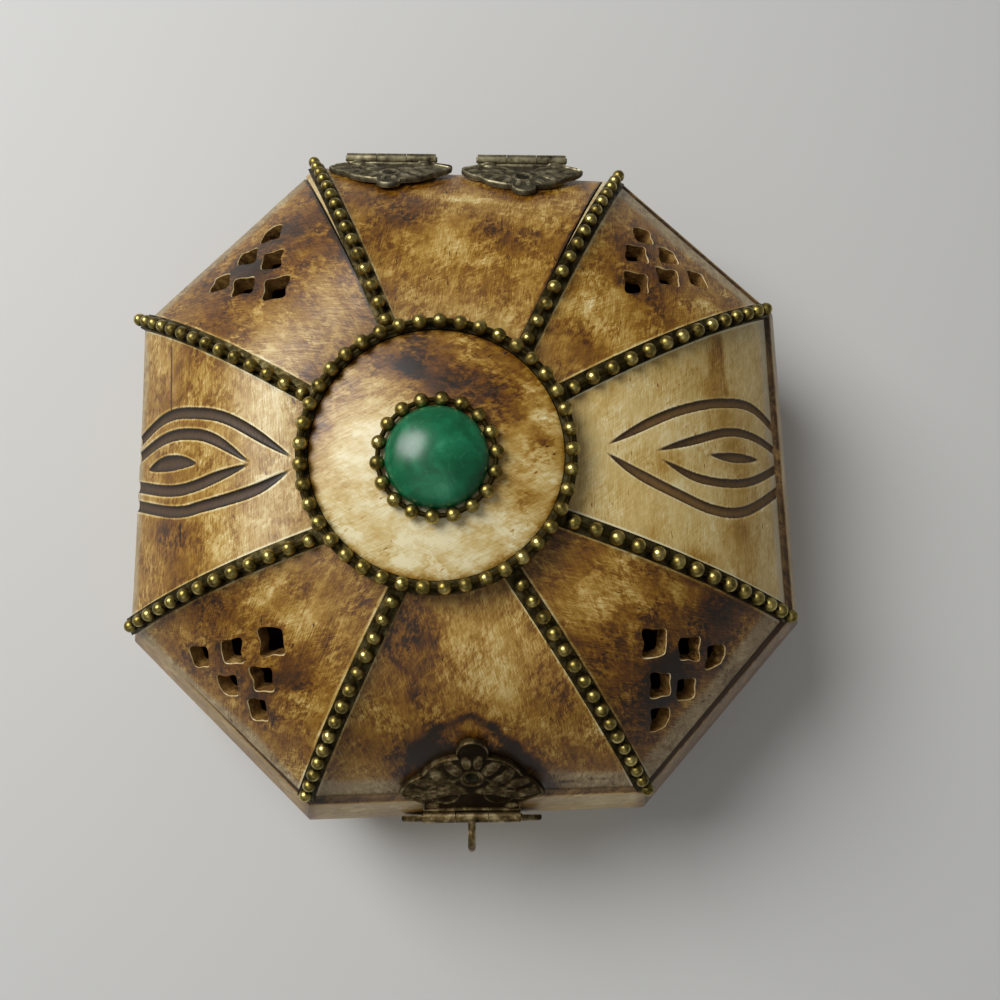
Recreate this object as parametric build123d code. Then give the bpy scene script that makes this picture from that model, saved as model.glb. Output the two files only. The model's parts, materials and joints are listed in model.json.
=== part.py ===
from build123d import *
import os
from math import acos, atan, atan2, cos, degrees, hypot, pi, radians, sin, sqrt, tan

# A bone trinket box: eight bowed bone walls, and a domed lid of eight bone panels whose joints
# are covered by beaded brass strips that run down from a bone disc with a green stone.
# Millimetres, +Z up. The hinges are at the back (+Y), the hasp at the front (-Y).
# The origin is on the table, under the middle of the box.
# Corners and sides are counted clockwise, seen from above, from the back left corner.

# Rim outline, where the lid meets the walls
cardinal_side = 63.1
diagonal_side = 45.1
# The box is cut by hand: how far each rim corner strays from an even octagon
hand_cut = [(1.1, 0.75), (1.4, -1.75), (-0.4, 1.85), (1.1, 1.95),
            (3.6, 1.15), (2.25, -0.15), (-0.35, 0.15), (-0.6, -1.35)]

# Walls: bone pieces bowed outwards, mitred at the corners
wall_height = 42.0
wall_bow_radius = 45.0
wall_thickness = 3.2
board_thickness = 3.0
board_clearance = 0.05
# The lid doesn't sit quite square on the walls: how far each wall corner strays from the lid's
wall_stray = [(0.6, 0.0), (0.8, 0.0), (1.1, 0.0), (1.4, 0.1),
              (0.0, -1.0), (0.7, -1.4), (1.6, -0.9), (0.6, 0.0)]

# Lid panels: flat under the disc, then ever steeper down to the rim
seat_gap = 0.2
lid_rise = 22.2
lid_bow = 2.3
panel_thickness = 3.0
panel_lap = 2.6          # how far the panels reach in under the disc from the bead circle

# Bead wire: a little heavier round the disc and the stone than on the ridges
# The wire on each ridge: gap between the band and its first bead, pitch, bead radius, and how far it
# lies off the middle of its strip, to the left as one looks down the ridge
ridge_wires = [(0.65, 3.65, 1.25, 0.0), (1.05, 3.85, 1.25, 0.1), (1.25, 4.1, 1.35, -0.4), (0.7, 4.1, 1.4, -0.3),
               (1.35, 3.4, 1.25, 0.1), (1.05, 3.45, 1.25, 0.1), (0.95, 3.75, 1.25, 0.4), (0.45, 3.75, 1.25, 0.5)]
ring_bead_radius = 1.33
ring_bead_pitch = 3.6
bead_sink = 0.2
link_width = 0.9

# Disc on top of the lid, with its brass band
disc_centre = (-4.0, -2.3)
bead_circle = 23.7
band_inside = 22.55
band_outside = 24.7
band_height = 3.4
disc_clearance = 0.05
disc_edge = 3.2
disc_dome = 3.0
# Where each ridge leaves the bead circle, in degrees from the right, anticlockwise
ridge_angle = [110.6, 51.0, 27.8, -27.0, -57.6, -105.6, -144.5, 154.4]

# Brass strip along each ridge: let into the filed joint, a little proud of it
strip_width = 3.3
strip_proud = 0.3
strip_depth = 0.8
strip_clearance = 0.05
ridge_foot = 0.3         # strip and beads stop this far above the lid's lower edge

# Thin bone slivers that fill the joint beside the two back ridges, wider at the rim than at the disc
sliver_top_width = 0.8
sliver_foot_width = 2.9
sliver_groove = 0.4

# Stone and the bead ring round it
stone_shift = (0.1, -1.5)
stone_radius = 9.0
stone_height = 5.8
stone_girdle = 0.8
stone_bead_circle = 10.3

# Pierced holes in the diagonal panels: one, two and three in a triangle that points at the disc
hole_side = 4.0
hole_round = 1.0
hole_across = 7.4
hole_row = 4.0
hole_outer_row = 10.5     # distance of the row of three from the rim, in plan
hole_turn = 45.0

# Hinge and hasp leaves
leaf_thickness = 0.7
hinge_leaf_width = 25.4
hinge_leaf_length = 14.8
hinge_root = 2.5
hasp_leaf_width = 27.5
hasp_leaf_length = 21.0
hasp_root = 3.5
drop_leaf_length = 19.0
barrel_length = 18.6
knuckle_radius = 1.15
knuckle_gap = 0.15
pin_radius = 0.55
pin_clearance = 0.05
pin_end = 0.3
leaf_stand = 0.05
hinge_x = (-14.6, 12.8)
hinge_out = 2.3           # hinge axis outside the rim
hasp_x = 2.2
hasp_out = 4.35
lid_leaf_slope = 45.0

# Nails, one to a leaf, countersunk
nail_radius = 0.6
nail_head_radius = 1.3
nail_head_height = 0.55
nail_dome = 0.3
nail_length = 2.6
nail_fit = 0.05

# Staple that the drop leaf's slot goes over
staple_wire_radius = 0.75
staple_half_height = 3.3
staple_drop = 8.3         # below the hasp pin
staple_reach = 7.9        # tip beyond the hasp pin
staple_tail = 1.0
staple_fit = 0.02
slot_width = 2.7
slot_start = 4.0
slot_end = 13.8

SIDES = ["back", "back_right", "right", "front_right", "front", "front_left", "left", "back_left"]
RIDGES = ["back_left", "back_right", "right_back", "right_front",
          "front_right", "front_left", "left_front", "left_back"]
DIAGONALS = [1, 3, 5, 7]
COUNT = 8
UP = Vector(0, 0, 1)
FAR = 400.0

lid_foot = wall_height + seat_gap
lid_top = lid_foot + lid_rise
half_width = cardinal_side / 2 + diagonal_side / sqrt(2)
half_side = cardinal_side / 2
even_corners = [(-half_side, half_width), (half_side, half_width), (half_width, half_side),
                (half_width, -half_side), (half_side, -half_width), (-half_side, -half_width),
                (-half_width, -half_side), (-half_width, half_side)]
rim = [Vector(x + dx, y + dy, 0) for (x, y), (dx, dy) in zip(even_corners, hand_cut)]
wall_rim = [corner + Vector(dx, dy, 0) for corner, (dx, dy) in zip(rim, wall_stray)]
disc_middle = Vector(*disc_centre, 0)
ridge_start = [disc_middle + bead_circle * Vector(cos(radians(a)), sin(radians(a)), 0) for a in ridge_angle]

# The wall's section: the middle of its bow, and how far it bows out past the rim
bow_centre = -sqrt(wall_bow_radius ** 2 - (wall_height / 2) ** 2)
bow_out = wall_bow_radius + bow_centre


def side_direction(corners, i):
    return (corners[(i + 1) % COUNT] - corners[i]).normalized()


def side_normal(corners, i):
    d = side_direction(corners, i)
    return Vector(-d.Y, d.X, 0)


def mitre(i):
    """How a wall corner moves when both of its sides move out by one millimetre."""
    before, after = side_normal(wall_rim, i - 1), side_normal(wall_rim, i)
    return (before + after) / (1 + before.dot(after))


def outline(offset, z):
    """The walls' octagon moved out by offset, as a closed wire at height z."""
    return Polyline(*[wall_rim[i] + offset * mitre(i) + z * UP for i in range(COUNT)], close=True)


def wall_inside(z):
    """How far the walls' inner face lies outside the rim line, at height z."""
    inner_radius = wall_bow_radius - wall_thickness
    return bow_centre + sqrt(inner_radius ** 2 - (z - wall_height / 2) ** 2)


def make_wall(i):
    end_in = wall_inside(0)
    mid_in = bow_out - wall_thickness
    half = wall_height / 2
    edges = [ThreePointArc((0, 0), (bow_out, half), (0, wall_height)),
             Line((0, wall_height), (end_in, wall_height)),
             ThreePointArc((end_in, wall_height), (mid_in, half), (end_in, 0)),
             Line((end_in, 0), (0, 0))]
    spare = wall_height
    j = (i + 1) % COUNT
    near, far = wall_rim[i], wall_rim[j]
    along = side_direction(wall_rim, i)
    start = Plane(origin=near - spare * along, x_dir=side_normal(wall_rim, i), z_dir=along)
    section = start * make_face(edges)
    blank = extrude(section, amount=(far - near).length + 2 * spare, dir=along)
    reach = 3 * bow_out
    plan = Polyline(near - reach * mitre(i), near + reach * mitre(i),
                    far + reach * mitre(j), far - reach * mitre(j), close=True)
    return blank & extrude(make_face(plan), amount=wall_height, dir=(0, 0, 1))


def make_board():
    low, high = wall_inside(0), wall_inside(board_thickness)
    bottom = make_face(outline(low - board_clearance, 0))
    top = make_face(outline(high - board_clearance, board_thickness))
    return loft([bottom, top], ruled=True)


class Ridge:
    """A line down the lid, from the bead circle to the rim, and the vertical plane it lies in."""

    def __init__(self, start, end):
        self.start = start
        self.length = (end - start).length
        self.along = (end - start).normalized()
        self.plane = Plane(origin=start, x_dir=self.along, z_dir=self.along.cross(UP))

    def point(self, t, out=0.0):
        """The point a share t of the way down, moved out of the surface, in the ridge's plane."""
        slope = atan(lid_bow * lid_rise / self.length * t ** (lid_bow - 1))
        height = lid_foot + lid_rise * (1 - t ** lid_bow)
        return (t * self.length + out * sin(slope), height + out * cos(slope))

    def curve(self, out, first=0.0, last=1.1, steps=9):
        shares = [first + (last - first) * k / steps for k in range(steps + 1)]
        return [self.point(t, out) for t in shares]


ridges = [Ridge(ridge_start[i], rim[i]) for i in range(COUNT)]
below_lid = Pos(0, 0, lid_foot - FAR / 2) * Box(FAR, FAR, FAR)
below_strips = Pos(0, 0, ridge_foot) * below_lid


def bow(points):
    """A smooth curve through the points that leaves the first one level."""
    fall = Vector(*points[-1]) - Vector(*points[-2])
    return Spline(*points, tangents=[(1, 0), (fall.X, fall.Y)])


def lid_section(ridge):
    """The panel's cross-section in a ridge's plane: a flat lap, then the bowed part."""
    outer = ridge.curve(0.0)
    inner = ridge.curve(-panel_thickness)
    lap_out = (-panel_lap, outer[0][1])
    lap_in = (-panel_lap, inner[0][1])
    edges = [Line(lap_out, outer[0]), bow(outer), Line(outer[-1], inner[-1]),
             bow(inner), Line(inner[0], lap_in), Line(lap_in, lap_out)]
    return ridge.plane * make_face(edges)


def beside_ridge(near, far, top_width, foot_width):
    """A line down the lid beside ridge near, moved towards ridge far by a width at each end."""
    at_top = (ridge_start[far] - ridge_start[near]).normalized()
    at_foot = (rim[far] - rim[near]).normalized()
    return Ridge(ridge_start[near] + top_width * at_top, rim[near] + foot_width * at_foot)


def make_panel(i, room=0.0):
    """Lid side i. With a room it stops that far short of the sliver's inner edge."""
    j = (i + 1) % COUNT
    right = beside_ridge(j, i, sliver_top_width + room, sliver_foot_width + room) if room else ridges[j]
    return loft([lid_section(ridges[i]), lid_section(right)], ruled=True) - below_lid


def make_sliver(i):
    """A thin piece of lid side i beside its right ridge."""
    j = (i + 1) % COUNT
    inner = beside_ridge(j, i, sliver_top_width, sliver_foot_width)
    return loft([lid_section(ridges[j]), lid_section(inner)], ruled=True) - below_lid


def make_strip(i, clearance=0.0):
    """The brass strip on ridge i, or with a clearance the seat that is filed for it."""
    ridge = ridges[i]
    top = ridge.curve(strip_proud)
    bottom = ridge.curve(-strip_depth - clearance)
    edges = [bow(top), Line(top[-1], bottom[-1]), bow(bottom), Line(bottom[0], top[0])]
    return extrude(ridge.plane * make_face(edges), amount=strip_width / 2 + clearance, both=True)


def make_bead_wire(i):
    """Beads in a row along ridge i, joined by thin links, standing on the strip."""
    ridge = ridges[i]
    gap, pitch, radius, left = ridge_wires[i]
    fine = ridge.curve(strip_proud + radius, 0.0, 1.0, 200)
    lowest = lid_foot + ridge_foot + radius
    first = band_outside - bead_circle + radius + gap
    travelled, due, centres = 0.0, 0.0, []
    for a, b in zip(fine, fine[1:]):
        travelled += hypot(b[0] - a[0], b[1] - a[1])
        if b[0] > first and travelled >= due and b[1] > lowest:
            centres.append(b)
            due = travelled + pitch if not due else due + pitch
    beads = [ridge.plane * Pos(s, z, -left) * Rot(0, 0, 90) * Sphere(radius) for s, z in centres]
    links = []
    for (s0, z0), (s1, z1) in zip(centres, centres[1:]):
        tilt = 90 - degrees(atan2(z1 - z0, s1 - s0))
        middle = Pos((s0 + s1) / 2, (z0 + z1) / 2, -left) * Rot(0, 0, -tilt) * Rot(-90, 0, 0)
        links.append(ridge.plane * middle * Cylinder(link_width / 2, hypot(s1 - s0, z1 - z0)))
    return beads[0].fuse(*beads[1:], *links)


def bead_ring(radius, z):
    """A closed ring of bead wire about the vertical axis, at height z."""
    count = round(2 * pi * radius / ring_bead_pitch)
    beads = PolarLocations(radius, count) * Sphere(ring_bead_radius)
    return Pos(0, 0, z) * Torus(radius, link_width / 2).fuse(*beads)


def make_disc():
    top = disc_edge + disc_dome
    radius = band_inside - disc_clearance
    dome_radius = (radius ** 2 + disc_dome ** 2) / (2 * disc_dome)
    middle = (radius / 2, top - dome_radius + sqrt(dome_radius ** 2 - (radius / 2) ** 2))
    edges = [Line((0, 0), (radius, 0)), Line((radius, 0), (radius, disc_edge)),
             ThreePointArc((radius, disc_edge), middle, (0, top)), Line((0, top), (0, 0))]
    return Pos(0, 0, lid_top) * revolve(Plane.XZ * make_face(edges), axis=Axis.Z)


def make_band():
    solid = Cylinder(band_outside, band_height) - Cylinder(band_inside, band_height)
    return Pos(0, 0, lid_top + band_height / 2) * solid


def disc_height(radius):
    """Height of the domed disc at a distance from its middle."""
    edge = band_inside - disc_clearance
    dome_radius = (edge ** 2 + disc_dome ** 2) / (2 * disc_dome)
    return lid_top + disc_edge + disc_dome - dome_radius + sqrt(dome_radius ** 2 - radius ** 2)


def make_stone():
    """A round cabochon: a short straight girdle under an elliptical dome."""
    deep = 1.0
    girdle = deep + stone_girdle
    rise = stone_height - stone_girdle
    shoulder = (stone_radius * cos(radians(45)), girdle + rise * sin(radians(45)))
    dome = Spline((stone_radius, girdle), shoulder, (0, girdle + rise), tangents=[(0, 1), (-1, 0)])
    edges = [Line((0, 0), (stone_radius, 0)), Line((stone_radius, 0), (stone_radius, girdle)),
             dome, Line((0, girdle + rise), (0, 0))]
    return Pos(0, 0, disc_height(stone_radius) - deep) * revolve(Plane.XZ * make_face(edges), axis=Axis.Z)


def line_y(corners, i, x):
    """The line from corner i to the next one, of a front or back side, at x."""
    a, b = corners[i], corners[(i + 1) % COUNT]
    return a.Y + (b.Y - a.Y) * (x - a.X) / (b.X - a.X)


def outermost(corners, i, x, width):
    return max(abs(line_y(corners, i, x - width / 2)), abs(line_y(corners, i, x + width / 2)))


def lid_touch(i, x, width, slope):
    """Where a plate at a slope touches the lid's side i: distance out from the middle, and height."""
    run = abs(line_y(rim, i, x) - line_y(ridge_start, i, x))
    t = (tan(radians(slope)) * run / (lid_bow * lid_rise)) ** (1 / (lid_bow - 1))
    out = outermost(rim, i, x, width) - run * (1 - t)
    return out, lid_foot + lid_rise * (1 - t ** lid_bow)


def pin_gap(i, x, width, slope, pin):
    """Distance from a pin to the plate at a slope that touches the lid's side i."""
    out, z = lid_touch(i, x, width, slope)
    a = radians(slope)
    return (pin[0] - out) * sin(a) + (pin[1] - z) * cos(a)


def lid_slope(i, x, width, pin):
    """The slope at which a leaf on a pin lies on the lid's side i."""
    low, high = 25.0, 48.0
    for _ in range(50):
        middle = (low + high) / 2
        if pin_gap(i, x, width, middle, pin) > knuckle_radius + leaf_stand:
            high = middle
        else:
            low = middle
    return middle


def wall_slope(i, x, width, pin, inside):
    """The tilt from upright of a leaf on a pin that lies on the wall, its back inside the pin."""
    out = pin[0] - outermost(wall_rim, i, x, width) - bow_centre
    up = pin[1] - wall_height / 2
    away = hypot(out, up)
    return degrees(atan2(up, out) - acos((wall_bow_radius + leaf_stand + inside) / away))


def leaf_plane(x, pin, sign, tilt, inside, down):
    """Plane of a leaf's back: its Y runs away from the pin, its Z out of the box."""
    a = radians(tilt)
    normal = Vector(0, sign * cos(a), sin(a))
    foot = Vector(x, sign * pin[0], pin[1]) - inside * normal
    across = Vector(sign if down else -sign, 0, 0)
    return Plane(origin=foot, x_dir=across, z_dir=normal)


def leaf_outline(width, length, root):
    """Half-moon of scallops with a round lobe at its tip, on a straight root by the barrel."""
    tall = length - root
    half, barrel = width / 2, barrel_length / 2

    def at(side, across, up):
        return (side * across * half, root + up * tall)

    edges = [Line((-barrel, 0), (barrel, 0))]
    for side in (1, -1):
        edges += [Line((side * barrel, 0), (side * barrel, root)),
                  Line((side * barrel, root), at(side, 1.0, 0.16)),
                  ThreePointArc(at(side, 1.0, 0.16), at(side, 0.9, 0.33), at(side, 0.70, 0.46)),
                  ThreePointArc(at(side, 0.70, 0.46), at(side, 0.50, 0.66), at(side, 0.19, 0.755))]
    edges.append(ThreePointArc(at(-1, 0.19, 0.755), (0, length), at(1, 0.19, 0.755)))
    return make_face(edges)


knuckle_length = (barrel_length - 2 * knuckle_gap) / 3
knuckle_step = knuckle_length + knuckle_gap


def nail_hole_at(length, root):
    return root + 0.41 * (length - root)


def make_leaf(width, length, root, inside, outer_knuckles, bore):
    """A flat leaf with its knuckles. inside is how far its back lies behind the pin's axis."""
    plate = extrude(leaf_outline(width, length, root), amount=leaf_thickness)
    clear = knuckle_radius + knuckle_gap + pin_clearance
    own = [-knuckle_step, knuckle_step] if outer_knuckles else [0.0]
    others = [0.0] if outer_knuckles else [-knuckle_step, knuckle_step]
    room = knuckle_length + 2 * knuckle_gap
    for x in others:
        plate -= Pos(x, 0, 0) * Box(room, 2 * clear, 8 * knuckle_radius)
    for x in own:
        plate += Pos(x, 0, inside) * Rot(0, 90, 0) * Cylinder(knuckle_radius, knuckle_length)
    return plate - Pos(0, 0, inside) * Rot(0, 90, 0) * Cylinder(bore, 2 * barrel_length)


def countersink(y):
    """The hole for one nail through a leaf, at a distance from the pin."""
    top = leaf_thickness - nail_head_height / 2
    sink = Cone(nail_radius + nail_fit, nail_head_radius + nail_fit, nail_head_height)
    hole = Cylinder(nail_radius + nail_fit, 4 * leaf_thickness)
    return Pos(0, y, 0) * (Pos(0, 0, top) * sink + hole)


def make_nail(y):
    top = leaf_thickness
    head = Pos(0, 0, top - nail_head_height / 2) * Cone(nail_radius, nail_head_radius, nail_head_height)
    ball = (nail_head_radius ** 2 + nail_dome ** 2) / (2 * nail_dome)
    dome = Pos(0, 0, top + nail_dome - ball) * Sphere(ball)
    dome &= Pos(0, 0, top + nail_dome / 2) * Cylinder(nail_head_radius, nail_dome)
    stem = top - nail_head_height + nail_length
    shank = Pos(0, 0, top - nail_head_height - stem / 2) * Cylinder(nail_radius, stem)
    return Pos(0, y, 0) * (head + dome + shank)


def nail_bore(y):
    return Pos(0, y, -nail_length) * Cylinder(nail_radius + staple_fit, 2 * nail_length)


def make_pin(plane, inside):
    return plane * Pos(0, 0, inside) * Rot(0, 90, 0) * Cylinder(pin_radius, barrel_length + 2 * pin_end)


def make_staple(x, pin, grow=0.0):
    """A wire loop in an upright plane. Its two legs go through the front wall."""
    z = pin[1] - staple_drop
    tip = pin[0] + staple_reach - staple_wire_radius
    turn = tip - staple_half_height
    tail = outermost(wall_rim, 4, x, 0) + wall_inside(z) - staple_tail
    top, bottom = z + staple_half_height, z - staple_half_height
    loop = revolve(Plane(origin=(x, -turn, top), x_dir=(1, 0, 0), z_dir=(0, -1, 0))
                   * Circle(staple_wire_radius + grow), axis=Axis((x, -turn, z), (1, 0, 0)),
                   revolution_arc=180)
    wire = loop
    for height in (top, bottom):
        leg = Rot(90, 0, 0) * Cylinder(staple_wire_radius + grow, turn - tail)
        wire += Pos(x, -(turn + tail) / 2, height) * leg
    return wire


def pierce(panel, i):
    """Cut the six holes of a diagonal panel, square to its face where the holes are."""
    j = (i + 1) % COUNT
    middle = (rim[i] + rim[j]) / 2
    inward = -side_normal(rim, i)
    run = abs((((ridge_start[i] + ridge_start[j]) / 2) - middle).dot(inward))
    t = 1 - (hole_outer_row + hole_row) / run
    slope = atan(lid_bow * lid_rise / run * t ** (lid_bow - 1))
    normal = -inward * sin(slope) + UP * cos(slope)
    height = lid_foot + lid_rise * (1 - t ** lid_bow)
    centre = middle + inward * (hole_outer_row + hole_row) + height * UP
    face = Plane(origin=centre, x_dir=side_direction(rim, i), z_dir=normal)
    blank = RectangleRounded(hole_side, hole_side, hole_round)
    drill = extrude(Rot(0, 0, hole_turn) * blank, amount=2 * panel_thickness, both=True)
    sign = -1 if face.y_dir.dot(inward) > 0 else 1
    for row in range(3):
        up = sign * (row - 1) * hole_row / cos(slope)
        for k in range(row + 1):
            across = (k - row / 2) * hole_across
            panel -= face * Pos(across, up, 0) * drill
    return panel


# Lid and wall pieces
walls = [make_wall(i) for i in range(COUNT)]
board = make_board()
strips = [make_strip(i) for i in range(COUNT)]
seats = [make_strip(i, strip_clearance) for i in range(COUNT)]
band_room = Pos(*disc_centre, lid_top) * Cylinder(band_outside + disc_clearance, FAR)
strips = [s - band_room - below_strips for s in strips]
bead_wires = [make_bead_wire(i) for i in range(COUNT)]

panels = [make_panel(i, sliver_groove if i in (0, 7) else 0.0) for i in range(COUNT)]
slivers = {"back_left": make_sliver(7), "back_right": make_sliver(0)}
for i in range(COUNT):
    panels[i] = panels[i] - seats[i] - seats[(i + 1) % COUNT]
for i in DIAGONALS:
    panels[i] = pierce(panels[i], i)
slivers["back_left"] -= seats[0]
slivers["back_right"] -= seats[1]

# Disc, stone and their bead rings
disc = make_disc()
band = make_band()
disc_beads = bead_ring(bead_circle, lid_top + band_height + ring_bead_radius - bead_sink) - band
on_disc = Pos(*stone_shift, 0)
stone_beads_z = disc_height(stone_bead_circle) + ring_bead_radius - bead_sink
stone_beads = on_disc * bead_ring(stone_bead_circle, stone_beads_z)
stone = on_disc * make_stone() - disc
stone_beads = stone_beads - disc
top_pieces = {"lid_disc": disc, "disc_band": band, "disc_beads": disc_beads,
              "stone": stone, "stone_beads": stone_beads}
top_pieces = {name: Pos(*disc_centre, 0) * piece for name, piece in top_pieces.items()}

# Hinges: both share one axis behind the back rim
hinge_away = outermost(rim, 0, hinge_x[0], hinge_leaf_width)
touch = lid_touch(0, hinge_x[0], hinge_leaf_width, lid_leaf_slope)
angle = radians(lid_leaf_slope)
hinge_pin_y = hinge_away + hinge_out
hinge_pin = (hinge_pin_y, touch[1] + (knuckle_radius + leaf_stand - (hinge_pin_y - touch[0]) * sin(angle))
             / cos(angle))
lid_leaf = make_leaf(hinge_leaf_width, hinge_leaf_length, hinge_root, knuckle_radius, False,
                     pin_radius + pin_clearance)
base_leaf = make_leaf(hinge_leaf_width, hinge_leaf_length, hinge_root, knuckle_radius, True, pin_radius)
hinge_nail_y = nail_hole_at(hinge_leaf_length, hinge_root)
hardware = {}
lid_nails, base_nails = [], []
for hand, x in zip(("left", "right"), hinge_x):
    slope = lid_slope(0, x, hinge_leaf_width, hinge_pin)
    up_plane = leaf_plane(x, hinge_pin, 1, 90 - slope, knuckle_radius, False)
    tilt = wall_slope(0, x, hinge_leaf_width, hinge_pin, knuckle_radius)
    down_plane = leaf_plane(x, hinge_pin, 1, tilt, knuckle_radius, True)
    hardware["hinge_lid_leaf_" + hand] = up_plane * (lid_leaf - countersink(hinge_nail_y))
    hardware["hinge_base_leaf_" + hand] = down_plane * (base_leaf - countersink(hinge_nail_y))
    hardware["hinge_pin_" + hand] = make_pin(up_plane, knuckle_radius)
    lid_nails.append(up_plane * make_nail(hinge_nail_y))
    base_nails.append(down_plane * make_nail(hinge_nail_y))
    panels[0] -= up_plane * nail_bore(hinge_nail_y)
    walls[0] -= down_plane * nail_bore(hinge_nail_y)

# Hasp: a leaf on the lid, and a drop leaf with a slot that hangs over the staple
hasp_away = outermost(rim, 4, hasp_x, hasp_leaf_width)
touch = lid_touch(4, hasp_x, hasp_leaf_width, lid_leaf_slope)
hasp_pin_y = hasp_away + hasp_out
hasp_pin = (hasp_pin_y, touch[1] + (knuckle_radius + leaf_stand - (hasp_pin_y - touch[0]) * sin(angle))
            / cos(angle))
hasp_plane = leaf_plane(hasp_x, hasp_pin, -1, 90 - lid_leaf_slope, knuckle_radius, False)
hasp_leaf = make_leaf(hasp_leaf_width, hasp_leaf_length, hasp_root, knuckle_radius, True, pin_radius)
hasp_nail_y = nail_hole_at(hasp_leaf_length, hasp_root)
hardware["hasp_lid_leaf"] = hasp_plane * (hasp_leaf - countersink(hasp_nail_y))
hardware["hasp_pin"] = make_pin(hasp_plane, knuckle_radius)
lid_nails.append(hasp_plane * make_nail(hasp_nail_y))
panels[4] -= hasp_plane * nail_bore(hasp_nail_y)
drop_inside = leaf_thickness / 2
drop_tilt = wall_slope(4, hasp_x, hasp_leaf_width, hasp_pin, drop_inside)
drop_plane = leaf_plane(hasp_x, hasp_pin, -1, drop_tilt, drop_inside, True)
slot_length = slot_end - slot_start
slot = extrude(Pos(0, (slot_start + slot_end) / 2) * Rot(0, 0, 90)
               * SlotOverall(slot_length, slot_width), amount=2 * leaf_thickness, both=True)
drop_leaf = make_leaf(hasp_leaf_width, drop_leaf_length, hasp_root, drop_inside, False,
                      pin_radius + pin_clearance)
hardware["hasp_drop_leaf"] = drop_plane * (drop_leaf - slot)
hardware["staple"] = make_staple(hasp_x, hasp_pin)
walls[4] -= make_staple(hasp_x, hasp_pin, staple_fit)
hardware["lid_nails"] = Compound(children=lid_nails)
hardware["base_nails"] = Compound(children=base_nails)

nodes = {"base_board": board}
for i in range(COUNT):
    nodes["wall_" + SIDES[i]] = walls[i]
    nodes["lid_panel_" + SIDES[i]] = panels[i]
    nodes["ridge_strip_" + RIDGES[i]] = strips[i]
    nodes["ridge_beads_" + RIDGES[i]] = bead_wires[i]
for name, piece in slivers.items():
    nodes["lid_sliver_" + name] = piece
nodes.update(top_pieces)
nodes.update(hardware)

os.makedirs("parts", exist_ok=True)
for name, piece in nodes.items():
    export_step(piece, f"parts/{name}.step")
print("hinge pin", hinge_pin, "hasp pin", hasp_pin, "drop tilt", round(drop_tilt, 2))
print(len(nodes), "nodes")
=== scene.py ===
import json
from math import atan2, cos, hypot, pi, radians, sin, sqrt

import bmesh
import bpy
import numpy as np
from mathutils import Matrix, Vector, kdtree, noise


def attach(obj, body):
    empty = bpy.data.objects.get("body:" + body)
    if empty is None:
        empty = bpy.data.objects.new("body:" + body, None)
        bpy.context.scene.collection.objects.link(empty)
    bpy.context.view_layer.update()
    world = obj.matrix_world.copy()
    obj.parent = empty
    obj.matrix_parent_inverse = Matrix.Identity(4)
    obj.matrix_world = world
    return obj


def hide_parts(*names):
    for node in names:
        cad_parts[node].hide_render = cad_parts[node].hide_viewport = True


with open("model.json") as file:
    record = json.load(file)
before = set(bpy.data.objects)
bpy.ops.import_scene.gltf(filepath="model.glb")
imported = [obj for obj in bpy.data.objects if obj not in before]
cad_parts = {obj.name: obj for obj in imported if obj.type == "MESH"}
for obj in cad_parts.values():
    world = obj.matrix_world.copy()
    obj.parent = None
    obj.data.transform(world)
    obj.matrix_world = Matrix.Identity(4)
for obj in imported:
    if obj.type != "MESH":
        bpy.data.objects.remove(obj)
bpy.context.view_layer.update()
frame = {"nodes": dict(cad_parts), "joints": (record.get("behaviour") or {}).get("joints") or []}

# An octagonal trinket box of stained bone. Lengths are in millimetres; the mesh makers turn them
# into Blender's metres. Corners and sides are counted clockwise, seen from above, from the back left.
MM = 0.001

# Plan of the lid's rim: an octagon, and how far its hand-cut corners stray from it
CARDINAL_SIDE = 63.1
DIAGONAL_SIDE = 45.1
HAND_CUT = [(1.1, 0.75), (1.4, -1.75), (-0.4, 1.85), (1.1, 1.95),
            (3.6, 1.15), (2.25, -0.15), (-0.35, 0.15), (-0.6, -1.35)]
# How far each wall corner strays from the lid's corner above it
WALL_STRAY = [(0.6, 0.0), (0.8, 0.0), (1.1, 0.0), (1.4, 0.1),
              (0.0, -1.0), (0.7, -1.4), (1.6, -0.9), (0.6, 0.0)]
# Middle of the disc, the circle of beads round it, and the angles at which the ridges leave the circle
DISC_CENTRE = np.array([-4.0, -2.3])
BEAD_CIRCLE = 23.7
RIDGE_ANGLE = [110.6, 51.0, 27.8, -27.0, -57.6, -105.6, -144.5, 154.4]

# Walls and lid, as in the solids. The lid's ridges fall with the power LID_BOW of the way down
WALL_HEIGHT = 42.0
WALL_BOW_RADIUS = 45.0
WALL_THICKNESS = 3.2
WALL_TOP_ROUND = 0.5
LID_GAP = 0.2
LID_FOOT = WALL_HEIGHT + LID_GAP
LID_RISE = 22.2
LID_BOW = 2.3
PANEL_THICKNESS = 3.0
PANEL_LAP = 2.6
SLIVER_TOP_WIDTH = 0.8
SLIVER_FOOT_WIDTH = 2.9
SLIVER_GROOVE = 0.4
STRIP_PROUD = 0.3
RIDGE_FOOT = 0.3

# The wire on each ridge: gap between the band and its first bead, pitch, bead radius, and how far it
# lies off the middle of its strip, to the left as one looks down the ridge
RIDGE_WIRES = [(0.65, 3.65, 1.25, 0.0), (1.05, 3.85, 1.25, 0.1), (1.25, 4.1, 1.35, -0.4),
               (0.7, 4.1, 1.4, -0.3), (1.35, 3.4, 1.25, 0.1), (1.05, 3.45, 1.25, 0.1),
               (0.95, 3.75, 1.25, 0.4), (0.45, 3.75, 1.25, 0.5)]

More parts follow.
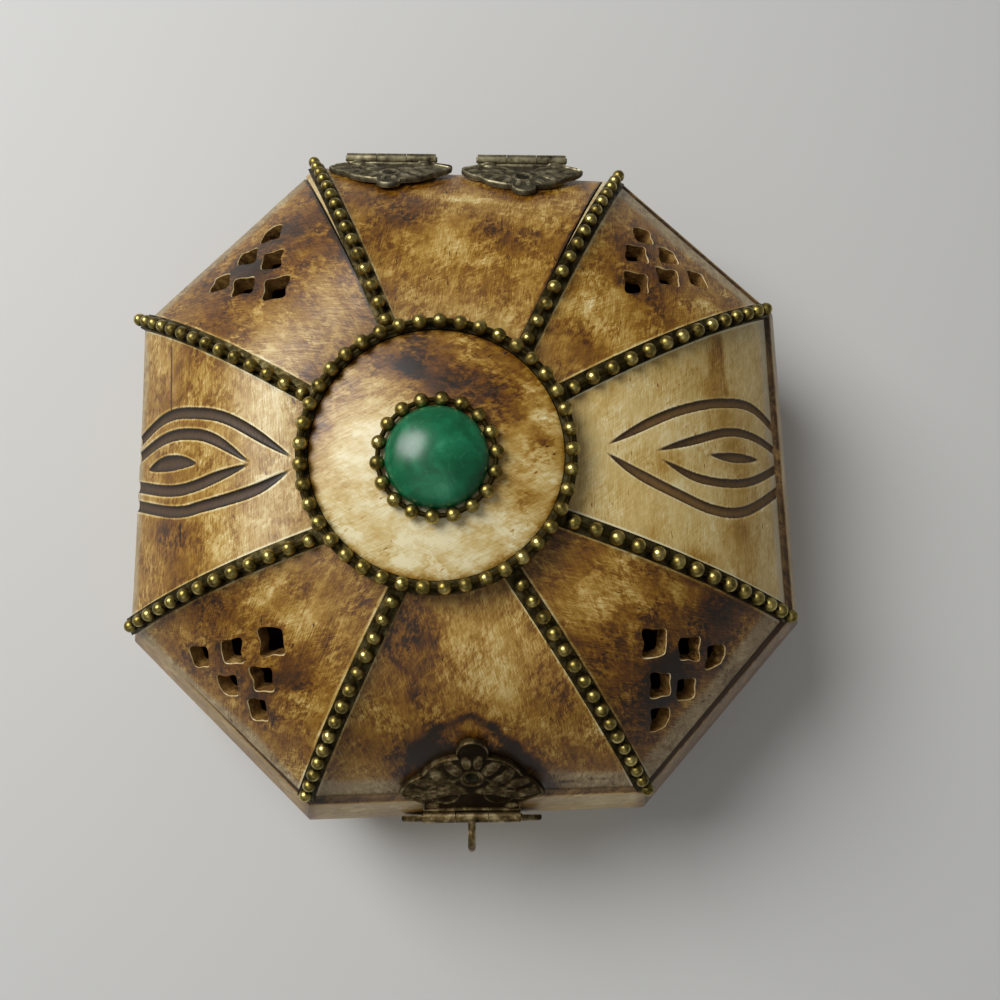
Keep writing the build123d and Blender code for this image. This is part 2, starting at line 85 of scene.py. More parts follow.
# The two rings of beads, the strips and band under the beads, the disc and the stone
RING_BEAD_RADIUS = 1.33
RING_BEAD_PITCH = 3.6
RING_BEAD_SINK = 0.2
LINK_RADIUS = 0.45
STRIP_HALF = 1.65
BAND_OUTSIDE = 24.7
BAND_HEIGHT = 3.4
DISC_RADIUS = 22.5
DISC_EDGE = 3.2
DISC_DOME = 3.0
DISC_ROUND = 0.4
STONE_SHIFT = np.array([0.1, -1.5])
STONE_BEAD_CIRCLE = 10.3

# The carved grooves, and the length in which one grows from its point to its full width
GROOVE_DEPTH = 0.6
GROOVE_TAPER = 11.0

# Hinge and hasp leaves: width, length and root, which is where the scallops start
HINGE_X = (-14.6, 12.8)
HASP_X = 2.2
HINGE_LEAF = (25.4, 14.8, 2.5)
HASP_LEAF = (27.5, 21.0, 3.5)
DROP_LEAF = (27.5, 19.0, 3.5)
LEAF_THICKNESS = 0.7
KNUCKLE_RADIUS = 1.15
BARREL_HALF = 9.3
SLOT_START, SLOT_END, SLOT_WIDTH = 4.0, 13.8, 2.7
# The pressed skin starts at a distance from the pin, laps over the leaf's edge and lies a hair above
# its face. The nail holes' radii are the gaps that it leaves round the heads
SKIN_START = 1.5
SKIN_LAP = 0.03
SKIN_GAP = 0.06
SKIN_FOOT = 0.15
HINGE_NAIL_GAP = 1.35
HASP_NAIL_GAP = 1.5
# A nail stands at this share of the way from the root of its leaf to the tip
NAIL_UP = 0.41

SIDES = ["back", "back_right", "right", "front_right", "front", "front_left", "left", "back_left"]
RIDGES = ["back_left", "back_right", "right_back", "right_front",
          "front_right", "front_left", "left_front", "left_back"]
COUNT = len(SIDES)
# The sides whose plate has a sliver along its right edge
BESIDE_SLIVER = (0, 7)

NEAR = CARDINAL_SIDE / 2
FAR = NEAR + DIAGONAL_SIDE / sqrt(2)
EVEN_CORNERS = [(-NEAR, FAR), (NEAR, FAR), (FAR, NEAR), (FAR, -NEAR),
                (NEAR, -FAR), (-NEAR, -FAR), (-FAR, -NEAR), (-FAR, NEAR)]
RIM = [np.array(even) + np.array(stray) for even, stray in zip(EVEN_CORNERS, HAND_CUT)]
WALL_RIM = [corner + np.array(stray) for corner, stray in zip(RIM, WALL_STRAY)]
START = [DISC_CENTRE + BEAD_CIRCLE * np.array([cos(radians(a)), sin(radians(a))]) for a in RIDGE_ANGLE]
LID_TOP = LID_FOOT + LID_RISE
DISC_SPHERE = (DISC_RADIUS ** 2 + DISC_DOME ** 2) / (2 * DISC_DOME)


# Node helper

def linear(hex_colour):
    """An sRGB hex colour as the linear colour that a shader takes."""
    parts = [int(hex_colour[k:k + 2], 16) / 255 for k in (1, 3, 5)]
    return tuple(c / 12.92 if c <= 0.04045 else ((c + 0.055) / 1.055) ** 2.4 for c in parts) + (1.0,)


def add(tree, kind, settings=None, stops=(), **links):
    """Adds a node. settings are its own properties, and stops the (place, hex colour) stops of a colour
    ramp. links set its sockets, by name or in_ and a number, to values, to other nodes' sockets or to
    other nodes, which stand for their first socket."""
    node = tree.nodes.new(kind)
    for key, value in (settings or {}).items():
        setattr(node, key, value)
    for _ in stops[2:]:
        node.color_ramp.elements.new(0.5)
    for k, (place, colour) in enumerate(stops):
        node.color_ramp.elements[k].position = place
        node.color_ramp.elements[k].color = linear(colour)
    for key, value in links.items():
        key = key.replace("_", " ")
        socket = node.inputs[int(key[3:])] if key.startswith("in ") else node.inputs[key]
        if isinstance(value, bpy.types.Node):
            value = value.outputs[0]
        if isinstance(value, bpy.types.NodeSocket):
            tree.links.new(value, socket)
        else:
            socket.default_value = value
    return node


def blank_material(name):
    """A material without nodes, and its tree."""
    material = bpy.data.materials.new(name)
    material.use_nodes = True
    material.node_tree.nodes.clear()
    return material, material.node_tree


# Materials

PLUS = {"operation": "ADD"}
MINUS = {"operation": "SUBTRACT"}
TIMES = {"operation": "MULTIPLY"}
COLOURS = {"data_type": "RGBA"}

BONE_IOR = 1.54
QUARTZ_IOR = 1.54

# Bone, sawn flat, sanded by hand and rubbed with brown stain: the stain lies in clouds, fills the
# short sanding strokes and the pores, and is worn off to a dull grey beige near the rim, where a
# reflection of the pale table is painted into the same grey beige
BONE_STOPS = [(0.0, "#ebdfb3"), (0.18, "#d2b877"), (0.36, "#b08a3c"), (0.54, "#895e0e"),
              (0.72, "#643a00"), (0.87, "#402300"), (1.0, "#201000")]
WORN_AND_REFLECTION_STOPS = [(0.0, "#d0c2a4"), (0.45, "#a3906a"), (0.8, "#78603a"), (1.0, "#3e2b16")]


def stained_bone(name, groove_colour, scratched=1.0, mottled=1.0, plain_stain=None):
    """A plate carries its own measure, turned along its strokes, and its stain. A plain stain is for
    a piece that carries neither. scratched says how much the sanding strokes show, and mottled how
    unevenly the stain has caught."""
    material, tree = blank_material(name)
    if plain_stain is None:
        along = add(tree, "ShaderNodeUVMap", {"uv_map": "plate_mm"})
        stain, groove, worn = (add(tree, "ShaderNodeAttribute", {"attribute_name": key}).outputs["Fac"]
                               for key in ("stain", "groove", "worn"))
    else:
        coords = add(tree, "ShaderNodeTexCoord").outputs["Object"]
        along = add(tree, "ShaderNodeVectorMath", {"operation": "SCALE"}, in_0=coords, Scale=1 / MM)
        stain, groove, worn = plain_stain, 0.0, 0.3

    # The strokes wander by half a millimetre
    sway = add(tree, "ShaderNodeTexNoise", Vector=along, Scale=0.22, Detail=2.0).outputs["Color"]
    sway = add(tree, "ShaderNodeVectorMath", {"operation": "SCALE"}, in_0=sway, Scale=1.1)
    swayed = add(tree, "ShaderNodeVectorMath", PLUS, in_0=along, in_1=sway)

    def cloud(turn, stretch, scale, detail, rough):
        """Noise of a scale per millimetre, drawn out along its turned first direction."""
        turned = add(tree, "ShaderNodeMapping", Vector=swayed, Rotation=(0.0, 0.0, radians(turn)))
        drawn = add(tree, "ShaderNodeMapping", Vector=turned, Scale=(stretch, 1.0, 1.0))
        return add(tree, "ShaderNodeTexNoise", Vector=drawn, Scale=scale, Detail=detail, Roughness=rough)

    def swing(pattern, amount):
        """How far a pattern lies from its middle, times an amount."""
        above = add(tree, "ShaderNodeMath", MINUS, in_0=pattern, in_1=0.5)
        return add(tree, "ShaderNodeMath", TIMES, in_0=above, in_1=amount)

    # Clouds of 10 mm, blots of 2.5 mm, strokes 0.2 mm wide and 4 mm long, some of them crossing, and
    # fine hairs of 0.1 mm
    clouds = cloud(0, 0.8, 0.1, 5, 0.6)
    blots = cloud(10, 0.5, 0.4, 5, 0.7)
    strokes = cloud(0, 0.05, 4.6, 2, 0.6)
    hairs = cloud(6, 0.04, 8.0, 2, 0.6)
    crossing = cloud(54, 0.04, 5.0, 2, 0.5)
    # Crisp mottling of 1 mm where the stain has caught, in patches of 6 mm, and pores: dark dashes
    # 0.3 mm wide and a millimetre long, in patches of 8 mm. The stain was wiped off in islands of 6 mm
    mottle = cloud(24, 0.6, 1.1, 6, 0.72)
    mottle_patches = cloud(40, 1.0, 0.17, 2, 0.5)
    pores = cloud(-8, 0.3, 1.7, 2, 0.5)
    pore_patches = cloud(0, 1.0, 0.13, 1, 0.5)
    islands = cloud(70, 0.7, 0.15, 4, 0.6)

    # What each pattern gives: it goes from one amount to another between two values of the pattern.
    # The more stain there is, the more unevenly it has caught
    spans = {
        "wiped": (islands, 0.57, 0.62, 0.0, -0.12 * mottled),
        "caught": (mottle, 0.44, 0.57, -0.13, 0.15),
        "caught_in_patches": (mottle_patches, 0.4, 0.6, 0.2, 1.0),
        "caught_with_stain": (stain, 0.1, 0.7, 0.35 * mottled, 1.2 * mottled),
        "scratched_in_patches": (pore_patches, 0.35, 0.65, 0.5 * scratched, 1.3 * scratched),
        "dash": (pores, 0.67, 0.72, 0.0, 0.5),
        "dash_in_patches": (pore_patches, 0.46, 0.62, 0.0, 1.0),
        "carved": (groove, 0.05, 0.3, 0.0, 1.0),
        "polish": (strokes, 0.3, 0.7, 0.32, 0.5),
    }
    gives = {key: add(tree, "ShaderNodeMapRange", Value=pattern, From_Min=low, From_Max=high,
                      To_Min=first, To_Max=last)
             for key, (pattern, low, high, first, last) in spans.items()}

    catch = add(tree, "ShaderNodeMath", TIMES, in_0=gives["caught"], in_1=gives["caught_in_patches"])
    catch = add(tree, "ShaderNodeMath", TIMES, in_0=catch, in_1=gives["caught_with_stain"])
    dashes = add(tree, "ShaderNodeMath", TIMES, in_0=gives["dash"], in_1=gives["dash_in_patches"])
    lines = swing(strokes, 0.46)
    for layer in (swing(hairs, 0.46), swing(crossing, 0.34)):
        lines = add(tree, "ShaderNodeMath", PLUS, in_0=lines, in_1=layer)
    lines = add(tree, "ShaderNodeMath", TIMES, in_0=lines, in_1=gives["scratched_in_patches"])
    depth = stain
    for layer in (swing(clouds, 0.62 * mottled), swing(blots, 0.5 * mottled), gives["wiped"], catch,
                  lines, dashes):
        depth = add(tree, "ShaderNodeMath", PLUS, in_0=depth, in_1=layer)
    fresh = add(tree, "ShaderNodeValToRGB", stops=BONE_STOPS, Fac=depth)
    # The greyer colour that the worn mark mixes in is worn stain, and along the lid's rim also a painted
    # reflection of the pale table
    paled = add(tree, "ShaderNodeValToRGB", stops=WORN_AND_REFLECTION_STOPS, Fac=depth)
    skin = add(tree, "ShaderNodeMix", COLOURS, in_0=worn, in_6=fresh, in_7=paled).outputs[2]

    # A groove is darkest along its edges, and burnished and streaked along its middle
    floor = add(tree, "ShaderNodeMath", {"operation": "POWER"}, in_0=groove, in_1=3.0)
    floor = add(tree, "ShaderNodeMath", TIMES, in_0=floor, in_1=0.75)
    for layer in (swing(mottle, 0.8), swing(hairs, 0.8)):
        floor = add(tree, "ShaderNodeMath", PLUS, in_0=floor, in_1=layer)
    edge_colour, middle_colour = (linear(colour) for colour in groove_colour)
    floor = add(tree, "ShaderNodeMix", COLOURS, in_0=floor, in_6=edge_colour, in_7=middle_colour).outputs[2]
    colour = add(tree, "ShaderNodeMix", COLOURS, in_0=gives["carved"], in_6=skin, in_7=floor).outputs[2]

    # Polished bone, duller in the strokes and in the carving
    dull = add(tree, "ShaderNodeMath", TIMES, in_0=groove, in_1=0.25)
    gloss = add(tree, "ShaderNodeMath", PLUS, in_0=gives["polish"], in_1=dull)
    relief = swing(strokes, -0.6)
    for layer in (swing(crossing, 0.3), swing(gives["dash"], -0.6)):
        relief = add(tree, "ShaderNodeMath", PLUS, in_0=relief, in_1=layer)
    bump = add(tree, "ShaderNodeBump", Height=relief, Strength=0.13, Distance=0.12 * MM)
    shader = add(tree, "ShaderNodeBsdfPrincipled", Base_Color=colour, Roughness=gloss, Normal=bump,
                 IOR=BONE_IOR)
    add(tree, "ShaderNodeOutputMaterial", Surface=shader)
    return material


def aged_brass(name, bright, dull, dark, shine):
    """Stamped and drawn brass with patina: bright where it is worn, dark in its hollows and in what
    the grime_and_shade attribute marks: dirt, and painted shade under and between the beads and on the hasp's
    right half."""
    material, tree = blank_material(name)
    coords = add(tree, "ShaderNodeTexCoord").outputs["Object"]
    # Tarnish clouds of 2 mm and pits of 0.2 mm
    tarnish = add(tree, "ShaderNodeTexNoise", Vector=coords, Scale=0.5 / MM, Detail=5.0, Roughness=0.65)
    pits = add(tree, "ShaderNodeTexNoise", Vector=coords, Scale=4.2 / MM, Detail=2.0)
    worn = add(tree, "ShaderNodeValToRGB", stops=[(0.32, dark), (0.5, dull), (0.66, bright)], Fac=tarnish)
    grime_and_shade = add(tree, "ShaderNodeAttribute", {"attribute_name": "grime_and_shade"}).outputs["Fac"]
    colour = add(tree, "ShaderNodeMix", COLOURS, in_0=grime_and_shade, in_6=worn, in_7=linear(dark)).outputs[2]
    rough = add(tree, "ShaderNodeMapRange", Value=tarnish, From_Min=0.3, From_Max=0.7,
                To_Min=shine + 0.22, To_Max=shine)
    caked = add(tree, "ShaderNodeMath", TIMES, in_0=grime_and_shade, in_1=0.3)
    rough = add(tree, "ShaderNodeMath", PLUS, in_0=rough, in_1=caked)
    bump = add(tree, "ShaderNodeBump", Height=pits, Strength=0.2, Distance=0.05 * MM)
    shader = add(tree, "ShaderNodeBsdfPrincipled", Base_Color=colour, Roughness=rough, Normal=bump,
                 Metallic=1.0)
    add(tree, "ShaderNodeOutputMaterial", Surface=shader)
    return material


def green_stone(name):
    """Green quartz, cut as a cabochon and polished: cloudy, with paler veins."""
    material, tree = blank_material(name)
    coords = add(tree, "ShaderNodeTexCoord").outputs["Object"]
    # Clouds of 5 mm, veins of 1 mm
    clouds = add(tree, "ShaderNodeTexNoise", Vector=coords, Scale=0.21 / MM, Detail=6.0, Roughness=0.6,
                 Distortion=0.6)
    body = add(tree, "ShaderNodeValToRGB", Fac=clouds,
               stops=[(0.3, "#014a2b"), (0.5, "#06603a"), (0.62, "#12724a"), (0.75, "#358a62")])
    veins = add(tree, "ShaderNodeTexNoise", Vector=coords, Scale=0.9 / MM, Detail=3.0, Distortion=1.5)
    vein = add(tree, "ShaderNodeMapRange", Value=veins, From_Min=0.6, From_Max=0.75, To_Min=0.0, To_Max=0.25)
    colour = add(tree, "ShaderNodeMix", COLOURS, in_0=vein, in_6=body, in_7=linear("#4f9a78")).outputs[2]
    shader = add(tree, "ShaderNodeBsdfPrincipled", Base_Color=colour, Roughness=0.28, IOR=QUARTZ_IOR,
                 Subsurface_Weight=0.15, Subsurface_Radius=(1.0 * MM, 3.0 * MM, 1.5 * MM))
    add(tree, "ShaderNodeOutputMaterial", Surface=shader)
    return material


def plain_board(name):
    """A planed softwood board: brown, with darker streaks of grain along it."""
    material, tree = blank_material(name)
    coords = add(tree, "ShaderNodeTexCoord").outputs["Object"]
    # The grain is about 1 mm wide and 17 mm long
    stretched = add(tree, "ShaderNodeMapping", Vector=coords, Scale=(0.06 / MM, 0.9 / MM, 0.9 / MM))
    grain = add(tree, "ShaderNodeTexNoise", Vector=stretched, Scale=1.0, Detail=6.0)
    colour = add(tree, "ShaderNodeValToRGB", Fac=grain,
                 stops=[(0.3, "#4a2f1b"), (0.5, "#6b4628"), (0.7, "#83593a")])
    bump = add(tree, "ShaderNodeBump", Height=grain, Strength=0.3, Distance=0.1 * MM)
    shader = add(tree, "ShaderNodeBsdfPrincipled", Base_Color=colour, Roughness=0.6, Normal=bump)
    add(tree, "ShaderNodeOutputMaterial", Surface=shader)
    return material


def painted_table(name):
    """A pale matt surface under the box."""
    material, tree = blank_material(name)
    shader = add(tree, "ShaderNodeBsdfPrincipled", Base_Color=linear("#d0d0ce"), Roughness=0.8)
    add(tree, "ShaderNodeOutputMaterial", Surface=shader)
    return material


# Grooves: the colour along their edges and along their middle
DARK_GROOVE = ("#170d06", "#574129")
LIGHT_GROOVE = ("#331f0a", "#80602f")
bone_plate = stained_bone("stained_bone_plate", DARK_GROOVE)
bone_right = stained_bone("stained_bone_right_plate", LIGHT_GROOVE, scratched=0.7, mottled=0.5)
bone_wall = stained_bone("stained_bone_wall", DARK_GROOVE, scratched=0.6, mottled=0.7)
bone_disc = stained_bone("stained_bone_disc", DARK_GROOVE, scratched=0.5, mottled=1.1)
bone_sliver = stained_bone("stained_bone_sliver", DARK_GROOVE, plain_stain=0.2)
# The holes: their walls, and the side of their edges away from the rim, are painted dark as shade; the side
# towards the rim is painted pale as a highlight
bone_hole_shade = stained_bone("bone_hole_painted_shade", DARK_GROOVE, plain_stain=0.7)
bone_hole_highlight = stained_bone("bone_hole_painted_highlight", DARK_GROOVE, plain_stain=0.25)
bead_brass = aged_brass("aged_bead_brass", "#d8c67a", "#948345", "#352c14", shine=0.25)
strip_brass = aged_brass("blackened_strip_brass", "#6c6140", "#413921", "#1f1a0e", shine=0.42)
leaf_brass = aged_brass("antique_leaf_brass", "#c3b995", "#91886a", "#3b352a", shine=0.33)
hasp_brass = aged_brass("browned_hasp_brass", "#c4b082", "#75623f", "#291f11", shine=0.3)
nail_brass = aged_brass("dark_nail_brass", "#4f4732", "#2f2a1d", "#15120c", shine=0.5)
stone_green = green_stone("polished_green_quartz")
board_wood = plain_board("plain_board")
table_paint = painted_table("pale_table")


# Mesh helpers

def make_piece(name, points, faces, material, marks=None, plate=None):
    """A mesh object from points in millimetres. marks are named values at its points; plate is a
    measure across and along it in millimetres."""
    mesh = bpy.data.meshes.new(name)
    mesh.from_pydata((np.asarray(points) * MM).tolist(), [], faces)
    for key, values in (marks or {}).items():
        layer = mesh.attributes.new(key, "FLOAT", "POINT")
        layer.data.foreach_set("value", np.asarray(values, dtype=np.float32).ravel())
    if plate is not None:
        layer = mesh.uv_layers.new(name="plate_mm")
        corner = np.empty(len(mesh.loops), dtype=np.int32)
        mesh.loops.foreach_get("vertex_index", corner)
        layer.data.foreach_set("uv", np.asarray(plate, dtype=np.float32)[corner].ravel())
    mesh.polygons.foreach_set("use_smooth", [True] * len(mesh.polygons))
    mesh.materials.append(material)
    mesh.update()
    piece = bpy.data.objects.new(name, mesh)
    bpy.context.scene.collection.objects.link(piece)
    return piece


def tube_faces(rows, columns, ends=True):
    """Faces of a closed loop of points (rows) carried through columns, with end caps."""
    faces = []
    for c in range(columns - 1):
        for r in range(rows):
            s = (r + 1) % rows
            faces.append((c * rows + r, (c + 1) * rows + r, (c + 1) * rows + s, c * rows + s))
    if ends:
        faces.append(tuple(range(rows)))
        faces.append(tuple(reversed(range((columns - 1) * rows, columns * rows))))
    return faces


def sharpen(piece, angle=35.0):
    """Smooth shading with sharp edges above an angle in degrees."""
    piece.data.set_sharp_from_angle(angle=radians(angle))


def face_outwards(piece):
    """Turns all faces of a closed piece outwards."""
    work = bmesh.new()
    work.from_mesh(piece.data)
    bmesh.ops.recalc_face_normals(work, faces=work.faces)
    work.to_mesh(piece.data)
    work.free()


def clouds_at(points, size, seed):
    """Smooth noise from -1 to 1 at points, with clouds of a size."""
    shift = Vector((seed * 17.3, seed * 5.1, seed * 9.7))
    return np.array([noise.fractal(Vector(p) / size + shift, 1.0, 2.0, 3) for p in points])


# Bone plates of the lid

# Points on the lines that lengths are measured along, rows of points inside a plate and inside a
# wall, and how closely the points of plain plates, carved plates and walls lie
FINE = 400
INNER_ROWS = 24
WALL_INNER_ROWS = 20
PLAIN_SPACING = 0.5
CARVED_SPACING = 0.25
WALL_SPACING = 0.8
# How far the outline of a patch of stain wanders, and over what length
STAIN_BEND = 3.0
STAIN_BEND_SIZE = 9.0
# Stain on the inner faces
PANEL_INSIDE_STAIN = 0.35
WALL_INSIDE_STAIN = 0.45
# Waves in a plate's face: height and length. Its lower edge is rounded over by a depth, from a share
# of the way down
WAVE_HEIGHT = 0.12
WAVE_LENGTH = 14.0
RIM_ROUND = 0.35
RIM_ROUND_START = 0.985


def edge_line(i, hand):
    """Plan of one edge of side i: start on the bead circle and end on the rim. The two back plates
    that have a sliver beside them stop short of it."""
    j = (i + 1) % COUNT
    if hand == "left":
        return START[i], RIM[i]
    if i not in BESIDE_SLIVER:
        return START[j], RIM[j]
    at_top = (START[i] - START[j]) / np.linalg.norm(START[i] - START[j])
    at_foot = (RIM[i] - RIM[j]) / np.linalg.norm(RIM[i] - RIM[j])
    return (START[j] + (SLIVER_TOP_WIDTH + SLIVER_GROOVE) * at_top,
            RIM[j] + (SLIVER_FOOT_WIDTH + SLIVER_GROOVE) * at_foot)


def on_line(line, t, out):
    """Point of the lid's surface at share t down an edge line, moved out of the surface."""
    start, end = line
    length = np.linalg.norm(end - start)
    along = (end - start) / length
    down = np.clip(t, 0.0, None)
    slope = np.arctan(LID_BOW * LID_RISE / length * down ** (LID_BOW - 1))
    plan = start + np.outer(t * length + out * np.sin(slope), along)
    height = LID_FOOT + LID_RISE * (1 - down ** LID_BOW) + out * np.cos(slope)
    return np.column_stack([plan, height])


def down_measure(i, t):
    """Length in millimetres down the middle of side i, from the bead circle to share t."""
    j = (i + 1) % COUNT
    run = np.linalg.norm((RIM[i] + RIM[j]) / 2 - (START[i] + START[j]) / 2)
    fine = np.linspace(0, 1.1, FINE)
    height = LID_RISE * fine ** LID_BOW
    length = np.concatenate([[0], np.cumsum(np.hypot(np.diff(fine) * run, np.diff(height)))])
    return np.interp(t, fine, length) + np.minimum(t, 0) * run


def soft_patches(across, down, patches, seed, base):
    """Stain from 0, bare, to 1, black: a base with patches (across, down, half sizes, amount), whose
    outlines wander."""
    spots = np.column_stack([across, down, np.zeros_like(across)])
    bend_a = clouds_at(spots, STAIN_BEND_SIZE, seed) * STAIN_BEND
    bend_b = clouds_at(spots, STAIN_BEND_SIZE, seed + 40) * STAIN_BEND
    stain = np.full(len(across), base)
    for a, d, half_a, half_d, amount in patches:
        away = np.hypot((across + bend_a - a) / half_a, (down + bend_b - d) / half_d)
        stain += amount * np.exp(-away ** 2)
    return stain


def from_stretch(across, down, a, b):
    """Distance from the straight stretch between a and b, and the share of it that is nearest."""
    way = np.subtract(b, a)
    share = np.clip(((across - a[0]) * way[0] + (down - a[1]) * way[1]) / (way @ way), 0, 1)
    return np.hypot(across - a[0] - share * way[0], down - a[1] - share * way[1]), share


def groove_depth(across, down, lines):
    """Depth of the carved grooves, and how near each point is to a groove's sharp edge."""
    cut = np.zeros(len(across))
    lip = np.zeros(len(across))
    for full_half, both_ends, line in lines:
        curve = smooth_line(line, 8)
        lengths = np.concatenate([[0], np.cumsum(np.hypot(*np.diff(curve, axis=0).T))])
        near = np.full(len(across), np.inf)
        place = np.zeros(len(across))
        for k in range(len(curve) - 1):
            away, share = from_stretch(across, down, curve[k], curve[k + 1])
            nearer = away < near
            near = np.where(nearer, away, near)
            place = np.where(nearer, lengths[k] + share * (lengths[k + 1] - lengths[k]), place)
        whole, turn = (lengths[-1], pi) if both_ends else (GROOVE_TAPER, pi / 2)
        half = full_half * np.sin(turn * np.clip(place / whole, 0, 1)) ** 0.8
        half = np.maximum(half, 0.02)
        gouge = np.sqrt(np.clip(1 - (near / half) ** 2, 0, 1)) * np.minimum(half, 1.0)
        cut = np.maximum(cut, GROOVE_DEPTH * gouge)
        lip = np.maximum(lip, np.exp(-((near - half - 0.15) / 0.17) ** 2) * (half > 0.3))
    return cut, lip


def smooth_line(points, steps):
    """A smooth line through points, each stretch cut into steps."""
    p = np.array(points, dtype=float)
    p = np.vstack([2 * p[0] - p[1], p, 2 * p[-1] - p[-2]])
    out = []
    for k in range(1, len(p) - 2):
        for u in np.linspace(0, 1, steps, endpoint=False):
            out.append(0.5 * ((2 * p[k]) + (p[k + 1] - p[k - 1]) * u
                              + (2 * p[k - 1] - 5 * p[k] + 4 * p[k + 1] - p[k + 2]) * u ** 2
                              + (3 * p[k] - p[k - 1] - 3 * p[k + 1] + p[k + 2]) * u ** 3))
    out.append(p[-2])
    return np.array(out)


def plate_section(i, spacing):
    """Shares of the way down side i's plate, along its outer face from the lap under the disc to the
    foot and up its inner face, and 1 where they are on the outer face."""
    left = edge_line(i, "left")
    rows = int(down_measure(i, 1.0) / spacing)
    fine = np.linspace(0, 1, FINE)
    inner = on_line(left, fine, -PANEL_THICKNESS)
    inner_foot = float(np.interp(-LID_FOOT, -inner[:, 2], fine))
    lap = -PANEL_LAP / np.linalg.norm(left[1] - left[0])
    t = np.concatenate([[lap], np.linspace(0, 1, rows), np.linspace(inner_foot, 0, INNER_ROWS), [lap]])
    return t, np.concatenate([np.ones(1 + rows), np.zeros(INNER_ROWS + 1)])


def plate_stain(name, i, across, down, edge, by_sliver, lip):
    """Stain on side i's plate: its patches and cracks, and what lies along its edges and grooves. edge
    is the distance from the nearer ridge or joint, and by_sliver is true next to a sliver."""
    base, patches = LID_STAIN[SIDES[i]]
    patches = patches + [place + HOLE_STAIN for place in HOLES.get(SIDES[i], [])]
    stain = soft_patches(across, down, patches, i + 1, base)
    for a_across, a_down, b_across, b_down, half, amount in CRACKS.get(SIDES[i], []):
        away = from_stretch(across, down, (a_across, a_down), (b_across, b_down))[0]
        stain += amount * np.exp(-(away / half) ** 2)
    # Dirt lies by the strips and the band, and in the joint of a sliver; next to the band the darkening is
    # painted shade as well. A worn line beside each strip and the sharp edges of the grooves are pale
    stain += 0.05 * np.exp(-(edge / 3.4) ** 2) + 0.12 * np.exp(-(down / 2.2) ** 2)
    beside = np.exp(-((edge - STRIP_HALF - 0.3) / 0.22) ** 2)
    stain += np.where(by_sliver, 0.4 * np.exp(-(edge / 0.4) ** 2), -0.42 * beside)
    return stain - LIP_PALE.get(name, 0.0) * lip


def lid_plate(name, i, spacing, material):
    """One bone plate of the lid between its two edge lines, as a closed shell."""
    seed = i + 1
    left, right = edge_line(i, "left"), edge_line(i, "right")
    t, outside = plate_section(i, spacing)
    rows, columns = len(t), int(np.linalg.norm(right[1] - left[1]) / spacing)
    share = np.linspace(0, 1, columns)
    width_start = np.linalg.norm(right[0] - left[0])
    width_end = np.linalg.norm(right[1] - left[1])
    width = width_start + (width_end - width_start) * np.clip(t, 0, 1)
    across = ((share - 0.5)[:, None] * width[None, :]).ravel()
    edge = (np.minimum(share, 1 - share)[:, None] * width[None, :]).ravel()
    down = np.tile(down_measure(i, t), columns)
    skin = np.tile(outside, columns)
    flat = np.column_stack([across, down, np.zeros_like(across)])
    cut, lip = np.zeros(len(across)), np.zeros(len(across))
    if name in CARVING:
        cut, lip = groove_depth(across, down, CARVING[name])
        cut, lip = cut * skin, lip * skin
    waves = clouds_at(flat, WAVE_LENGTH, seed + 7) * WAVE_HEIGHT
    turning = np.clip((np.tile(t, columns) - RIM_ROUND_START) / (1 - RIM_ROUND_START), 0, 1)
    face = np.tile((outside - 1) * PANEL_THICKNESS, columns)
    lift = face - cut + waves * skin - RIM_ROUND * turning ** 2 * skin
    points = np.vstack([on_line(left, t, lifts) * (1 - f) + on_line(right, t, lifts) * f
                        for f, lifts in zip(share, lift.reshape(columns, rows))])
    points[:, 2] = np.maximum(points[:, 2], LID_FOOT)
    by_sliver = np.repeat((share > 0.5) & (i in BESIDE_SLIVER), rows)
    stain = plate_stain(name, i, across, down, edge, by_sliver, lip)
    stain = np.where(skin > 0, stain, PANEL_INSIDE_STAIN)
    # The band along the rim, worn off and painted with a reflection of the pale table, has a wandering upper
    # edge
    from_rim = down_measure(i, 1.0) - down + 1.3 * clouds_at(flat, 11.0, seed + 3)
    worn = np.clip((RIM_WEAR_AND_REFLECTION_BAND[SIDES[i]] - from_rim) / 1.8, 0, 0.9) * skin
    marks = {"stain": stain, "groove": cut / GROOVE_DEPTH, "worn": worn}
    piece = make_piece(name, points, tube_faces(rows, columns), material, marks,
                       turned_measure(across, down, GRAIN_TURN[SIDES[i]], seed))
    face_outwards(piece)
    sharpen(piece)
    return piece


def turned_measure(across, down, turn, seed):
    """A plate's own measure, turned so that its first direction runs along the sanding strokes."""
    c, s = cos(radians(turn)), sin(radians(turn))
    return np.column_stack([across * c + down * s + 90 * seed, down * c - across * s + 40 * seed])


# Width of the grey band along the rim where the stain is rubbed off, and where a reflection of the pale table
# is painted
RIM_WEAR_AND_REFLECTION_BAND = {"back": 2.0, "back_right": 6.0, "right": 4.0, "front_right": 6.5,
             "front": 6.5, "front_left": 4.0, "left": 3.5, "back_left": 4.5}

# Which way the sanding strokes of each plate run, in degrees from the line of its rim
GRAIN_TURN = {"back": 84, "back_right": 121, "right": 0, "front_right": 117,
              "front": 100, "front_left": 112, "left": 4, "back_left": 133}

